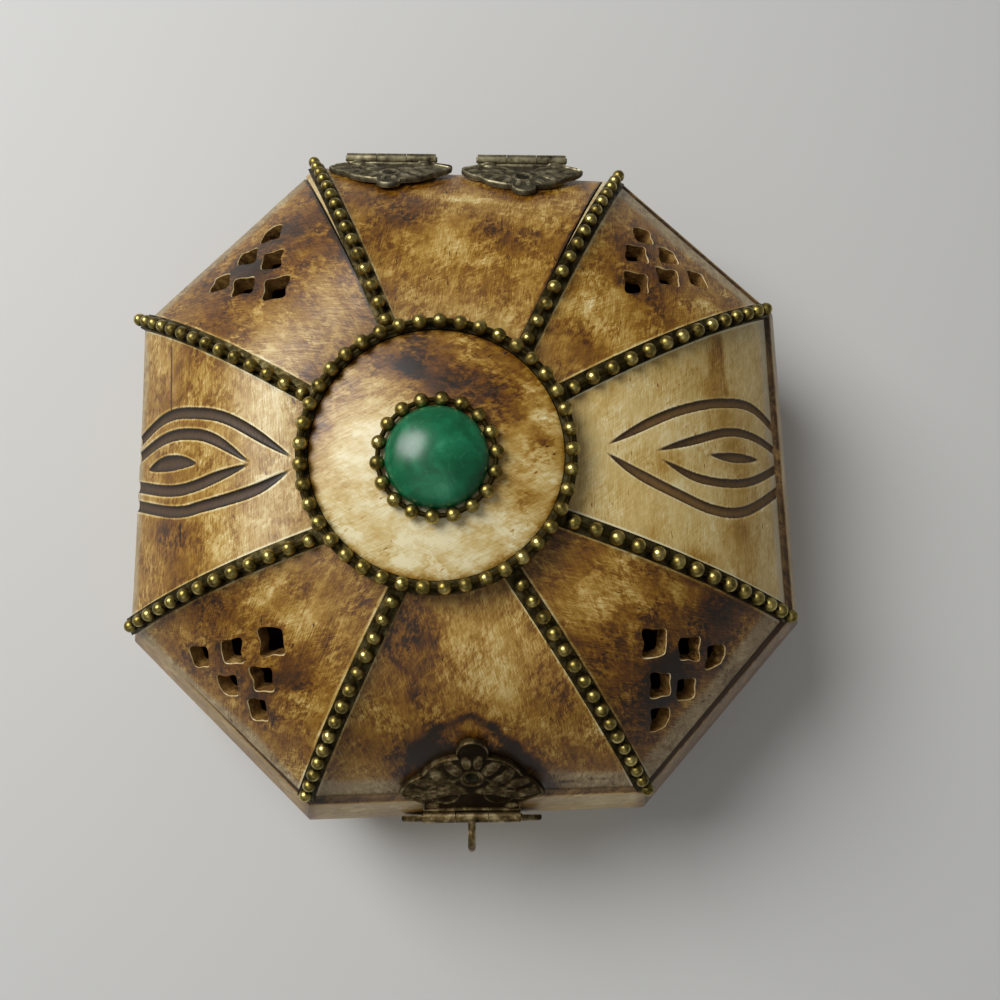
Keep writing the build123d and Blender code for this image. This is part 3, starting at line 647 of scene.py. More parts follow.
# Cracks and long smears: (from across, down, to across, down, half width, amount)
CRACKS = {
    "left": [(23.0, 34.6, 10.4, 33.8, 0.2, 0.6), (-11.5, 29.9, -15.5, 29.5, 0.2, 0.45)],
    "right": [(-23.0, 36.3, -12.0, 37.0, 0.9, 0.16)],
    "front": [(30.0, 51.4, 16.0, 51.4, 0.25, 0.5), (-16.0, 44.5, -27.0, 43.4, 0.25, 0.35),
              (13.7, 42.7, 10.2, 33.5, 0.8, 0.26), (10.2, 33.5, 5.6, 28.0, 0.8, 0.28),
              (5.6, 28.0, -0.5, 25.9, 0.9, 0.3), (-0.5, 25.9, -4.2, 28.6, 1.0, 0.34),
              (-4.2, 28.6, -7.9, 34.0, 1.2, 0.3), (-7.9, 34.0, -12.7, 41.0, 1.2, 0.28)],
}

# Nested eyes, carved with a narrow gouge. Each groove has a half width, says whether both of its
# ends taper, and runs through points (across, down)
CARVING = {
    "carved_panel_right": [
        (0.95, False, [(-1.2, 9.2), (-5.8, 19.5), (-8.1, 26.8), (-9.6, 35.3), (-9.7, 44.8), (-6.0, 54.5)]),
        (1.0, False, [(-0.2, 9.0), (4.1, 15.1), (8.0, 22.9), (11.2, 31.8), (11.2, 41.1), (6.4, 54.5)]),
        (0.85, False, [(0.2, 18.6), (-1.8, 27.1), (-4.0, 36.8), (-3.7, 45.0), (-1.4, 54.5)]),
        (0.85, False, [(1.4, 19.6), (5.0, 27.5), (6.0, 35.8), (5.2, 43.9), (1.8, 54.5)]),
        (0.95, True, [(0.6, 31.0), (0.9, 36.0), (0.9, 42.0), (0.8, 47.0)])],
    "carved_panel_left": [
        (1.1, False, [(1.0, 5.1), (7.6, 17.4), (9.4, 26.9), (9.2, 36.0), (5.4, 48.0)]),
        (1.1, False, [(-1.0, 5.5), (-5.4, 13.2), (-8.2, 23.7), (-9.1, 32.4), (-7.0, 48.0)]),
        (1.1, False, [(-0.3, 13.2), (4.0, 21.0), (5.4, 27.3), (5.2, 35.4), (2.2, 48.0)]),
        (1.1, False, [(-0.3, 13.2), (-2.5, 19.5), (-4.6, 26.9), (-5.0, 34.7), (-3.2, 48.0)]),
        (1.55, True, [(-0.2, 25.4), (0.2, 30.0), (0.2, 36.0), (-0.4, 42.4)])],
}
# How pale the sharp edges of the grooves are worn
LIP_PALE = {"carved_panel_left": 0.36, "carved_panel_right": 0.1}

# How the stain lies on each lid plate: base, then patches (across, down, half sizes, amount)
LID_STAIN = {
    "back": (0.52, [
        (-12, 32, 8, 12, 0.2), (-2, 24, 6, 9, -0.22), (12, 18, 5, 16, -0.1), (11, 25, 9, 3, 0.3),
        (-18, 36, 6, 4, 0.15), (-14, 45, 9, 4, 0.35), (12, 44, 9, 4, 0.3), (0, 37, 24, 2, -0.15)]),
    "back_right": (0.51, [
        (-3, 18, 6, 8, -0.12), (-9, 38, 3, 9, 0.15), (3, 27, 12, 3, 0.2), (4, 36, 9, 6, 0.14),
        (-1, 12, 8, 4, 0.15)]),
    "right": (0.2, [
        (-18, 34.5, 9, 3, 0.32), (-2, 38, 9, 5, 0.2), (16, 40, 9, 5, 0.22), (3, 20, 3, 6, 0.15),
        (-2, 52, 30, 3, 0.12), (20, 27, 2, 4, 0.2)]),
    "front_right": (0.6, [
        (2, 14, 6, 5, -0.22), (3, 38, 13, 7, 0.34), (-12, 36, 4, 8, 0.22), (8, 26, 4, 8, 0.12),
        (-6, 16, 4, 6, -0.1)]),
    "front": (0.55, [
        (9, 9, 5, 7, 0.32), (-4, 12, 8, 8, -0.22), (-6, 22, 5, 6, -0.14), (9, 20, 3, 4, 0.15),
        (-16, 22, 6, 4, 0.1), (4, 33, 6, 5, 0.24), (-6, 36, 6, 6, 0.5), (-12, 44, 4, 5, 0.58),
        (11, 42, 4, 6, 0.46), (8, 35, 5, 4, 0.4), (0, 42, 13, 7, 0.3), (20, 38, 6, 5, -0.12)]),
    "front_left": (0.55, [
        (0, 20, 3, 8, -0.3), (-5, 26, 4, 10, 0.22), (8, 12, 5, 8, -0.05), (4, 34, 9, 6, 0.15),
        (14, 28, 4, 6, 0.15), (-12, 38, 5, 6, 0.05)]),
    "left": (0.45, [
        (22, 28, 5, 5, 0.15), (-13, 32, 5, 7, 0.26), (12, 9, 10, 6, -0.24), (-12, 9, 10, 8, -0.14),
        (0, 36, 4, 5, 0.22), (0, 28, 4, 4, 0.12), (-14, 18, 8, 5, -0.1), (0, 2, 10, 3, 0.1),
        (14, 30, 8, 8, 0.1), (-22, 30, 6, 8, 0.12)]),
    "back_left": (0.59, [
        (0, 34, 12, 6, 0.2), (13, 30, 5, 12, 0.18), (-6, 14, 6, 6, -0.25), (6, 12, 4, 6, -0.18),
        (-12, 30, 4, 8, 0.1)]),
}

# Middles of the six holes in each diagonal plate: (across, down)
HOLES = {
    "back_left": [(0.3, 24.3), (3.8, 31.5), (-3.7, 31.5), (8.0, 39.6), (1.2, 39.0), (-6.2, 38.6)],
    "back_right": [(-0.3, 29.6), (-4.8, 36.4), (2.8, 37.8), (-7.2, 43.6), (-0.7, 44.0), (6.8, 45.0)],
    "front_left": [(0.7, 22.7), (4.8, 30.6), (-2.7, 30.5), (8.9, 38.3), (1.3, 38.6), (-5.9, 37.8)],
    "front_right": [(0.4, 29.7), (-3.2, 37.0), (5.5, 37.3), (-5.7, 43.9), (2.8, 43.7), (10.2, 43.3)],
}
# Half widths of the single hole, the two and the three, how much longer each is down the slope, the
# chamfered edge round each, and the stain round each: half sizes and amount
HOLE_HALF = [2.45, 2.15, 2.15, 2.05, 2.05, 2.05]
HOLE_STRETCH = [1.08, 1.2, 1.2, 1.34, 1.34, 1.34]
HOLE_CHAMFER = 0.15
HOLE_STAIN = (3.0, 3.6, 0.24)


def surface_at(i, across, down):
    """Point of side i's outer face at (across, down), and its directions across, down and out."""
    fine = np.linspace(0, 1, 200)
    t = float(np.interp(down, down_measure(i, fine), fine))
    left, right = edge_line(i, "left"), edge_line(i, "right")
    width = np.linalg.norm(right[0] - left[0]) * (1 - t) + np.linalg.norm(right[1] - left[1]) * t

    def at(share, place):
        place = np.array([place])
        return (on_line(left, place, 0.0) * (1 - share) + on_line(right, place, 0.0) * share)[0]

    share = 0.5 + across / width
    here = at(share, t)
    side = at(share + 0.01, t) - at(share - 0.01, t)
    fall = at(share, t + 0.01) - at(share, t - 0.01)
    side /= np.linalg.norm(side)
    out = np.cross(fall, side)
    out /= np.linalg.norm(out)
    if out[2] < 0:
        out = -out
    level = np.cross(side, out)
    return here, side, level if np.dot(level, fall) > 0 else -level, out


def hole_outline(half, by_rim, rng, points=56):
    """A rounded square on its corner, its sides filed unevenly. Next to the rim it is a quarter round
    whose two straight sides meet towards the disc."""
    angle = np.linspace(0, 2 * pi, points, endpoint=False)
    x, y = np.cos(angle), np.sin(angle)
    power = 7.0
    r = (np.abs(x) ** power + np.abs(y) ** power) ** (-1 / power)
    if by_rim:
        far = np.hypot(x * r + 1, y * r + 1)
        r = r * np.where(far > 2.0, 2.0 / far, 1.0)
    for waves, amount in ((2, 0.06), (3, 0.06), (5, 0.03)):
        r = r * (1 + amount * np.sin(waves * angle + rng.uniform(0, 2 * pi)))
    if not by_rim:
        r = r * (1 - 0.04 * np.cos(4 * angle))
    flat = np.column_stack([x * r, y * r]) * half
    turn = radians(45)
    return flat @ np.array([[cos(turn), sin(turn)], [-sin(turn), cos(turn)]])


def hole_cutter(i, place, k, seed):
    """The shape that is taken out for hole k: a little narrower below, and wider at its chamfered edge."""
    here, side, fall, out = surface_at(i, *place)
    rng = np.random.default_rng(seed)
    outline = hole_outline(HOLE_HALF[k], k >= 3, rng) * [1.0, HOLE_STRETCH[k]]
    grow = HOLE_CHAMFER / HOLE_HALF[k]
    rings = []
    levels = [(-2.2 * PANEL_THICKNESS, 0.9), (-HOLE_CHAMFER, 1.0), (0.05, 1 + grow), (1.2, 1 + 2.6 * grow)]
    for level, scale in levels:
        across, down = scale * outline.T
        rings.append(here + np.outer(across, side) + np.outer(down, fall) + level * out)
    count = len(outline)
    piece = make_piece("cutter", np.vstack(rings), tube_faces(count, len(rings)), bone_hole_shade)
    piece.data.materials.append(bone_hole_highlight)
    # The edge is painted pale on the side towards the rim as a highlight, and dark on the other side as shade
    paled = [int(v > -0.4) for u, v in outline]
    spare = len(piece.data.polygons) - 3 * count
    piece.data.polygons.foreach_set("material_index", [0] * count + 2 * paled + [0] * spare)
    face_outwards(piece)
    return piece


def carry_marks(old, new):
    """The points that a cut has added take the marks of the nearest old point."""
    tree = kdtree.KDTree(len(old.vertices))
    for k, vertex in enumerate(old.vertices):
        tree.insert(vertex.co, k)
    tree.balance()
    nearest = np.array([tree.find(vertex.co)[1] for vertex in new.vertices])
    for key in ("stain", "groove", "worn"):
        values = np.empty(len(old.vertices), dtype=np.float32)
        old.attributes[key].data.foreach_get("value", values)
        new.attributes[key].data.foreach_set("value", values[nearest])


def pierce(panel, i):
    """Cuts the six holes of side i through its panel."""
    cutters = [hole_cutter(i, place, k, 10 * i + k) for k, place in enumerate(HOLES[SIDES[i]])]
    bpy.context.view_layer.update()
    for cutter in cutters:
        cutting = panel.modifiers.new("cut", "BOOLEAN")
        cutting.operation = "DIFFERENCE"
        cutting.solver = "EXACT"
        cutting.material_mode = "TRANSFER"
        cutting.object = cutter
    cut_mesh = bpy.data.meshes.new_from_object(panel.evaluated_get(bpy.context.evaluated_depsgraph_get()))
    panel.modifiers.clear()
    old = panel.data
    carry_marks(old, cut_mesh)
    panel.data = cut_mesh
    bpy.data.meshes.remove(old)
    for cutter in cutters:
        bpy.data.objects.remove(cutter)
    sharpen(panel, 30.0)


def make_lid_plates():
    """The eight bone plates of the lid: two carved, four pierced and two plain."""
    for i, side in enumerate(SIDES):
        name = ("carved_panel_" if side in ("left", "right") else "bone_panel_") + side
        spacing = CARVED_SPACING if name in CARVING else PLAIN_SPACING
        panel = lid_plate(name, i, spacing, bone_right if side == "right" else bone_plate)
        if side in HOLES:
            pierce(panel, i)
        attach(panel, "lid")
        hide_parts("lid_panel_" + side)


# Walls

def wall_out(height, radius):
    """How far the wall bows out past the rim at a height, for its outer or inner radius."""
    middle = -sqrt(WALL_BOW_RADIUS ** 2 - (WALL_HEIGHT / 2) ** 2)
    return middle + np.sqrt(radius ** 2 - (height - WALL_HEIGHT / 2) ** 2)


def mitre(i):
    """How a wall corner moves when both of its sides move out by one millimetre."""
    normals = []
    for k in (i - 1, i):
        way = WALL_RIM[(k + 1) % COUNT] - WALL_RIM[k % COUNT]
        way = way / np.linalg.norm(way)
        normals.append(np.array([-way[1], way[0]]))
    return (normals[0] + normals[1]) / (1 + normals[0] @ normals[1])


# How the stain lies on each wall: base, then patches (across, up, half sizes, amount). The bases of the
# right and front right walls are raised with painted shade
WALL_STAIN_AND_SHADE = {
    "back": (0.45, [
        (0, 30, 30, 5, 0.2), (-18, 14, 8, 8, -0.2), (14, 10, 10, 8, 0.15)]),
    "back_right": (0.4, [
        (0, 10, 20, 7, 0.25), (6, 30, 8, 8, -0.15)]),
    "right": (0.34, [
        (-14, 20, 12, 14, 0.2), (20, 34, 10, 6, 0.2)]),
    "front_right": (0.62, [
        (8, 20, 8, 12, 0.2), (-10, 34, 8, 6, 0.1)]),
    "front": (0.27, [
        (18, 22, 14, 12, 0.25), (0, 34, 14, 8, 0.4), (-20, 12, 14, 10, -0.1), (0, 3, 34, 3, 0.2)]),
    "front_left": (0.45, [
        (-8, 22, 8, 12, 0.2), (10, 10, 8, 6, -0.2)]),
    "left": (0.42, [
        (0, 26, 18, 8, 0.2), (18, 8, 12, 8, -0.15)]),
    "back_left": (0.48, [
        (0, 12, 14, 8, 0.18), (-10, 32, 8, 6, -0.2)]),
}


def wall_section():
    """Section through a wall, up its outside, over its rounded top edge and down its inside: height,
    how far it bows out past the rim, and 1 on the outside."""
    turn_over = WALL_HEIGHT - WALL_TOP_ROUND * (1 - np.sin(np.linspace(0, pi / 2, 8)))
    rows = int(1.2 * WALL_HEIGHT / WALL_SPACING)
    up = np.concatenate([np.linspace(0, turn_over[0], rows, endpoint=False), turn_over])
    down = np.linspace(WALL_HEIGHT, 0, WALL_INNER_ROWS)
    above = np.clip(up - turn_over[0], 0, None)
    rounding = WALL_TOP_ROUND - np.sqrt(np.clip(WALL_TOP_ROUND ** 2 - above ** 2, 0, None))
    bow = np.concatenate([wall_out(up, WALL_BOW_RADIUS) - rounding,
                          wall_out(down, WALL_BOW_RADIUS - WALL_THICKNESS)])
    return np.concatenate([up, down]), bow, np.concatenate([np.ones(len(up)), np.zeros(len(down))])


def make_walls():
    """The eight bowed walls of the box, mitred at the corners."""
    height, bow, outside = wall_section()
    around = np.concatenate([[0], np.cumsum(np.hypot(np.diff(bow), np.diff(height)))])
    for i, side in enumerate(SIDES):
        first, last = WALL_RIM[i], WALL_RIM[(i + 1) % COUNT]
        a = first + np.outer(bow, mitre(i))
        b = last + np.outer(bow, mitre((i + 1) % COUNT))
        length = np.linalg.norm(last - first)
        columns = int(length / WALL_SPACING)
        share = np.linspace(0, 1, columns)
        points = [np.column_stack([a * (1 - f) + b * f, height]) for f in share]
        across = ((share - 0.5)[:, None] * np.linalg.norm(b - a, axis=1)[None, :]).ravel()
        heights, skins = np.tile(height, columns), np.tile(outside, columns)
        base, patches = WALL_STAIN_AND_SHADE[side]
        stain = soft_patches(across, heights, patches, i + 20, base)
        stain = np.where(skins > 0, stain, WALL_INSIDE_STAIN)
        # Stain has run into the corner joints. The thin dark line along the top, under the lid, is painted
        # shade in the gap
        edge = np.repeat(np.minimum(share, 1 - share) * length, len(height))
        stain += 0.3 * np.exp(-(edge / 1.6) ** 2) * skins
        stain += 0.6 * np.exp(-((WALL_HEIGHT - heights) / 0.15) ** 2) * skins
        # It is greyer and paler near the lid and near the table
        worn = 0.5 * np.exp(-((WALL_HEIGHT - heights) / 6.0) ** 2) + 0.4 * np.exp(-(heights / 5.0) ** 2)
        marks = {"stain": stain, "groove": np.zeros(len(stain)), "worn": worn}
        wall = make_piece("bone_wall_" + side, np.vstack(points), tube_faces(len(height), columns), bone_wall,
                          marks, turned_measure(across, np.tile(around, columns), 3, i + 11))
        face_outwards(wall)
        sharpen(wall)
        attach(wall, "base")
        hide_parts("wall_" + side)


# Disc

# How the stain lies on the disc: base, then patches (to the right, back, half sizes, amount)
DISC_STAIN = (0.15, [
    (-8, 15, 11, 7, 0.4), (7, 14, 12, 6, 0.44), (0, 19, 16, 4, 0.26), (-6.6, 16.5, 2.4, 1.8, 0.4),
    (-16, 10, 5, 6, 0.14), (14, 7, 7, 6, 0.38), (18.5, 1.4, 2.5, 3, 0.35), (17, -8.7, 4, 2, 0.3),
    (-20, 5, 2.5, 9, 0.3), (13, -2, 5, 5, 0.14), (6, 7, 8, 4, 0.14), (-13, -3, 6, 6, -0.08),
    (-4, -15, 12, 5, -0.06)])


def disc_height(radius):
    """Height of the disc's domed face above its foot."""
    return DISC_EDGE + DISC_DOME - DISC_SPHERE + np.sqrt(DISC_SPHERE ** 2 - radius ** 2)


def make_disc():
    """The domed bone disc, turned, with a small round on its edge."""
    turns = 240
    shoulder = DISC_RADIUS - DISC_ROUND
    radii = np.concatenate([np.linspace(0.4, shoulder, 52), [DISC_RADIUS - 0.12, DISC_RADIUS, DISC_RADIUS]])
    top = disc_height(np.minimum(radii, shoulder))
    top[-3:] = [top[-4] - 0.15, top[-4] - 0.45, 0.0]
    angle = np.linspace(0, 2 * pi, turns, endpoint=False)
    points = [(0, 0, DISC_EDGE + DISC_DOME)]
    for r, z in zip(radii, top):
        points += [(r * cos(a), r * sin(a), z) for a in angle]
    points = np.array(points)
    faces = [(0, 1 + k, 1 + (k + 1) % turns) for k in range(turns)]
    for ring in range(len(radii) - 1):
        low, high = 1 + ring * turns, 1 + (ring + 1) * turns
        faces += [(low + k, high + k, high + (k + 1) % turns, low + (k + 1) % turns) for k in range(turns)]
    faces.append(tuple(reversed(range(1 + (len(radii) - 1) * turns, 1 + len(radii) * turns))))
    x, y = points[:, 0], points[:, 1]
    base, patches = DISC_STAIN
    stain = soft_patches(x, y, patches, 31, base)
    # Darker towards the edge, beside the ring of beads: painted shade
    stain += 0.2 * np.exp(-((DISC_RADIUS - np.hypot(x, y)) / 1.0) ** 2)
    points = points + np.array([*DISC_CENTRE, LID_TOP])
    bare = np.zeros(len(stain))
    disc = make_piece("bone_disc", points, faces, bone_disc, {"stain": stain, "groove": bare, "worn": bare},
                      turned_measure(x, y, 28, 20))
    sharpen(disc)
    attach(disc, "lid")
    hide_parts("lid_disc")


# Beads

def ball(centre, up, radius, segments=20, rings=12):
    """Points, faces and grime_and_shade marks of one bead; dirt and painted shade gather on its lower half.
    """
    points, grime_and_shade = [], []
    for r in range(rings + 1):
        polar = pi * r / rings
        for s in range(segments):
            turn = 2 * pi * s / segments
            points.append((sin(polar) * cos(turn), sin(polar) * sin(turn), cos(polar)))
    points = np.array(points)
    low = points @ np.asarray(up)
    grime_and_shade = np.clip((0.5 - low) / 0.75, 0, 1)
    faces = []
    for r in range(rings):
        for s in range(segments):
            n = (s + 1) % segments
            faces.append((r * segments + s, (r + 1) * segments + s, (r + 1) * segments + n, r * segments + n))
    return centre + radius * points, faces, grime_and_shade


def link(a, b, radius, segments=10):
    """A short rod between two beads, painted fully dark as the shade between them."""
    way = (b - a) / np.linalg.norm(b - a)
    side = np.cross(way, [0.3, 0.5, 0.8])
    side /= np.linalg.norm(side)
    other = np.cross(way, side)
    points = []
    for end in (a, b):
        for s in range(segments):
            turn = 2 * pi * s / segments
            points.append(end + radius * (cos(turn) * side + sin(turn) * other))
    faces = [(s, (s + 1) % segments, segments + (s + 1) % segments, segments + s) for s in range(segments)]
    return np.array(points), faces, np.full(2 * segments, 1.0)


def bead_wire(name, centres, ups, radius, seed, closed=False):
    """A length of beaded wire: slightly uneven balls and the thin links between them."""
    rng = np.random.default_rng(seed)
    points, faces, grime_and_shade = [], [], []

    def join(part):
        shift = sum(len(p) for p in points)
        points.append(part[0])
        faces.extend(tuple(shift + k for k in face) for face in part[1])
        grime_and_shade.append(part[2])

    for centre, up in zip(centres, ups):
        join(ball(centre, up, radius * (1 + 0.025 * rng.standard_normal())))
    following = centres[1:] + (centres[:1] if closed else [])
    for a, b in zip(centres, following):
        join(link(a, b, LINK_RADIUS))
    return make_piece(name, np.vstack(points), faces, bead_brass, {"grime_and_shade": np.concatenate(grime_and_shade)})


def make_ridge_beads():
    """A wire down each ridge, from the band to where its last bead still clears the lid's foot."""
    for i, ridge in enumerate(RIDGES):
        gap, pitch, radius, left = RIDGE_WIRES[i]
        line = (START[i], RIM[i])
        along = (RIM[i] - START[i]) / np.linalg.norm(RIM[i] - START[i])
        aside = left * np.array([-along[1], along[0], 0.0])
        fine = np.linspace(0, 1, FINE)
        path = on_line(line, fine, STRIP_PROUD + radius)
        from_start = np.linalg.norm(path[:, :2] - START[i], axis=1)
        measure = np.concatenate([[0], np.cumsum(np.linalg.norm(np.diff(path, axis=0), axis=1))])
        first = float(np.interp(BAND_OUTSIDE - BEAD_CIRCLE + radius + gap, from_start, measure))
        last = float(np.interp(-(LID_FOOT + RIDGE_FOOT + radius), -path[:, 2], measure))
        share = np.interp(np.arange(first, last, pitch), measure, fine)
        centres = on_line(line, share, STRIP_PROUD + radius) + aside
        ups = on_line(line, share, 1.0) - on_line(line, share, 0.0)
        wire = bead_wire("bead_wire_" + ridge, list(centres), list(ups), radius, 50 + i)
        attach(wire, "lid")
        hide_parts("ridge_beads_" + ridge)


def ring_centres(middle, radius, height, turned):
    """Middles of the beads of a ring, and the way up for their dirt and painted shade, leaning outwards."""
    count = round(2 * pi * radius / RING_BEAD_PITCH)
    angles = [2 * pi * k / count + turned for k in range(count)]
    centres = [np.array([middle[0] + radius * cos(a), middle[1] + radius * sin(a), height]) for a in angles]
    ups = [np.array([0.35 * cos(a), 0.35 * sin(a), 0.93]) for a in angles]
    return centres, ups


def make_rings():
    """The two rings of beads, sunk a little into what carries them."""
    height = LID_TOP + BAND_HEIGHT + RING_BEAD_RADIUS - RING_BEAD_SINK
    ring = bead_wire("disc_bead_wire", *ring_centres(DISC_CENTRE, BEAD_CIRCLE, height, 0.02),
                     RING_BEAD_RADIUS, 70, True)
    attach(ring, "lid")
    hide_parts("disc_beads")
    middle = DISC_CENTRE + STONE_SHIFT
    height = LID_TOP + disc_height(STONE_BEAD_CIRCLE) + RING_BEAD_RADIUS - RING_BEAD_SINK
    ring = bead_wire("stone_bead_wire", *ring_centres(middle, STONE_BEAD_CIRCLE, height, 0.1),
                     RING_BEAD_RADIUS, 71, True)
    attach(ring, "lid")
    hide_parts("stone_beads")


# Pressed skins of the hinge and hasp leaves

def arc_through(a, b, c, steps=20):
    """Points on the circle arc from a through b to c."""
    (ax, ay), (bx, by), (cx, cy) = a, b, c
    aa, bb, cc = ax ** 2 + ay ** 2, bx ** 2 + by ** 2, cx ** 2 + cy ** 2
    d = 2 * (ax * (by - cy) + bx * (cy - ay) + cx * (ay - by))
    middle_x = (aa * (by - cy) + bb * (cy - ay) + cc * (ay - by)) / d
    middle_y = (aa * (cx - bx) + bb * (ax - cx) + cc * (bx - ax)) / d
    first, between, last = (atan2(y - middle_y, x - middle_x) for x, y in (a, b, c))
    turn = (last - first) % (2 * pi)
    if (between - first) % (2 * pi) > turn:
        turn -= 2 * pi
    radius = hypot(ax - middle_x, ay - middle_y)
    angles = [first + turn * k / steps for k in range(steps + 1)]
    return [(middle_x + radius * cos(angle), middle_y + radius * sin(angle)) for angle in angles]


def leaf_edge(width, length, root):
    """The scalloped outline of a leaf: (across, away from the pin)."""
    half, tall = width / 2, length - root

    def at(across, up):
        return (across * half, root + up * tall)

    right = [(x, SKIN_START) for x in np.linspace(0, BARREL_HALF, 20)]
    right += [(BARREL_HALF, root), at(1.0, 0.16)]
    right += arc_through(at(1.0, 0.16), at(0.9, 0.33), at(0.70, 0.46))
    right += arc_through(at(0.70, 0.46), at(0.50, 0.66), at(0.19, 0.755))
    lobe = arc_through(at(0.19, 0.755), (0, length), at(-0.19, 0.755), 30)
    return np.array(right + lobe + [(-x, y) for x, y in reversed(right)])


def reach_of(outline, centre, angles):
    """How far an outline lies from a centre inside it, in each direction."""
    fine = np.vstack([a + (b - a) * u for a, b in zip(outline, np.roll(outline, -1, axis=0))
                      for u in np.linspace(0, 1, 8, endpoint=False)])
    away = fine - centre
    direction = np.arctan2(away[:, 1], away[:, 0])
    order = np.argsort(direction)
    return np.interp(angles, direction[order], np.hypot(*away.T)[order], period=2 * pi)


# Petals of the pressed flower pattern: place as shares of the half width and of the height above the
# root, turn in degrees, and half length and half width in millimetres. Curls: place and radius
PETALS = [(0.26, 0.22, 10, 1.9, 0.75), (0.52, 0.16, -6, 2.1, 0.7), (0.80, 0.20, 12, 1.7, 0.7),
          (0.40, 0.40, 38, 1.8, 0.75), (0.64, 0.34, 24, 1.7, 0.65), (0.27, 0.58, 60, 1.7, 0.7),
          (0.50, 0.52, 48, 1.3, 0.55), (0.08, 0.66, 82, 1.2, 0.55), (0.88, 0.30, 60, 0.9, 0.5)]
CURLS = [(0.38, 0.18, 2.1), (0.66, 0.24, 2.0), (0.34, 0.50, 1.9)]


def pressed_height(across, up, edge, ring, width, length, root, outlined):
    """Height of the pattern over the leaf: rolled border, ring round the hole, petals and curls. The
    petals are domes with a vein, or outlined."""
    half, tall = width / 2, length - root
    size = tall / (HINGE_LEAF[1] - HINGE_LEAF[2])
    x, y = np.abs(across), up

    def ridge(away, wide):
        return np.exp(-(away / wide) ** 2)

    height = 0.36 * ridge(edge - 0.35, 0.26) + 0.26 * ridge(ring - 0.45, 0.28)
    pattern = np.zeros(len(x))
    for fx, fy, turn, long, broad in PETALS:
        dx, dy = x - fx * half, y - root - fy * tall
        c, s = cos(radians(turn)), sin(radians(turn))
        u, v = (dx * c + dy * s) / (long * size), (dy * c - dx * s) / (broad * size)
        dome = np.sqrt(np.clip(1 - u ** 2 - v ** 2, 0, 1))
        outline = 0.24 * ridge(np.hypot(u, v) - 0.85, 0.22)
        pattern = np.maximum(pattern, np.maximum(outline, 0.18 * dome) if outlined else
                             0.34 * dome - 0.1 * ridge(v, 0.2) * (dome > 0.2))
    for fx, fy, radius in CURLS:
        away = np.hypot(x - fx * half, y - root - fy * tall) - radius * size
        pattern = np.maximum(pattern, 0.2 * ridge(away, 0.22))
    # The pattern fades out beside the border and the ring
    pattern *= (y < root + 0.76 * tall) * np.clip((edge - 0.7) / 0.4, 0, 1)
    pattern *= np.clip((ring - 0.7) / 0.4, 0, 1)
    tab = np.hypot((x - 0.54 * half) / 1.4, (y - 0.85 * root) / 0.8)
    return np.maximum(height, pattern) + 0.5 * np.sqrt(np.clip(1 - tab ** 2, 0, 1))


def leaf_directions(node, towards):
    """The way that a leaf's broad face points, and the way it runs from its pin, from its solid."""
    sums = {}
    for face in frame["nodes"][node].data.polygons:
        if face.normal.dot(towards) > 0.3:
            key = tuple(round(v, 2) for v in face.normal)
            sums[key] = sums.get(key, Vector()) + face.area * face.normal
    out = max(sums.values(), key=lambda v: v.length).normalized()
    run = out.cross(Vector((1, 0, 0)))
    return np.array(out), np.array(run if run.z * towards[2] > 0 else -run)


def hole_reach(hole, length, root, angles):
    """Middle of a leaf's hole, and how far the hole's rim lies from it in each direction."""
    if hole != "slot":
        return np.array([0.0, root + NAIL_UP * (length - root)]), np.full(len(angles), hole)
    centre = np.array([0.0, (SLOT_START + SLOT_END) / 2])
    straight = (SLOT_END - SLOT_START - SLOT_WIDTH) / 2
    bend = np.linspace(0, 2 * pi, 80, endpoint=False)
    rim = np.column_stack([SLOT_WIDTH / 2 * np.cos(bend), SLOT_WIDTH / 2 * np.sin(bend)])
    rim[:, 1] += straight * np.sign(np.sin(bend))
    return centre, reach_of(rim + centre, centre, angles)


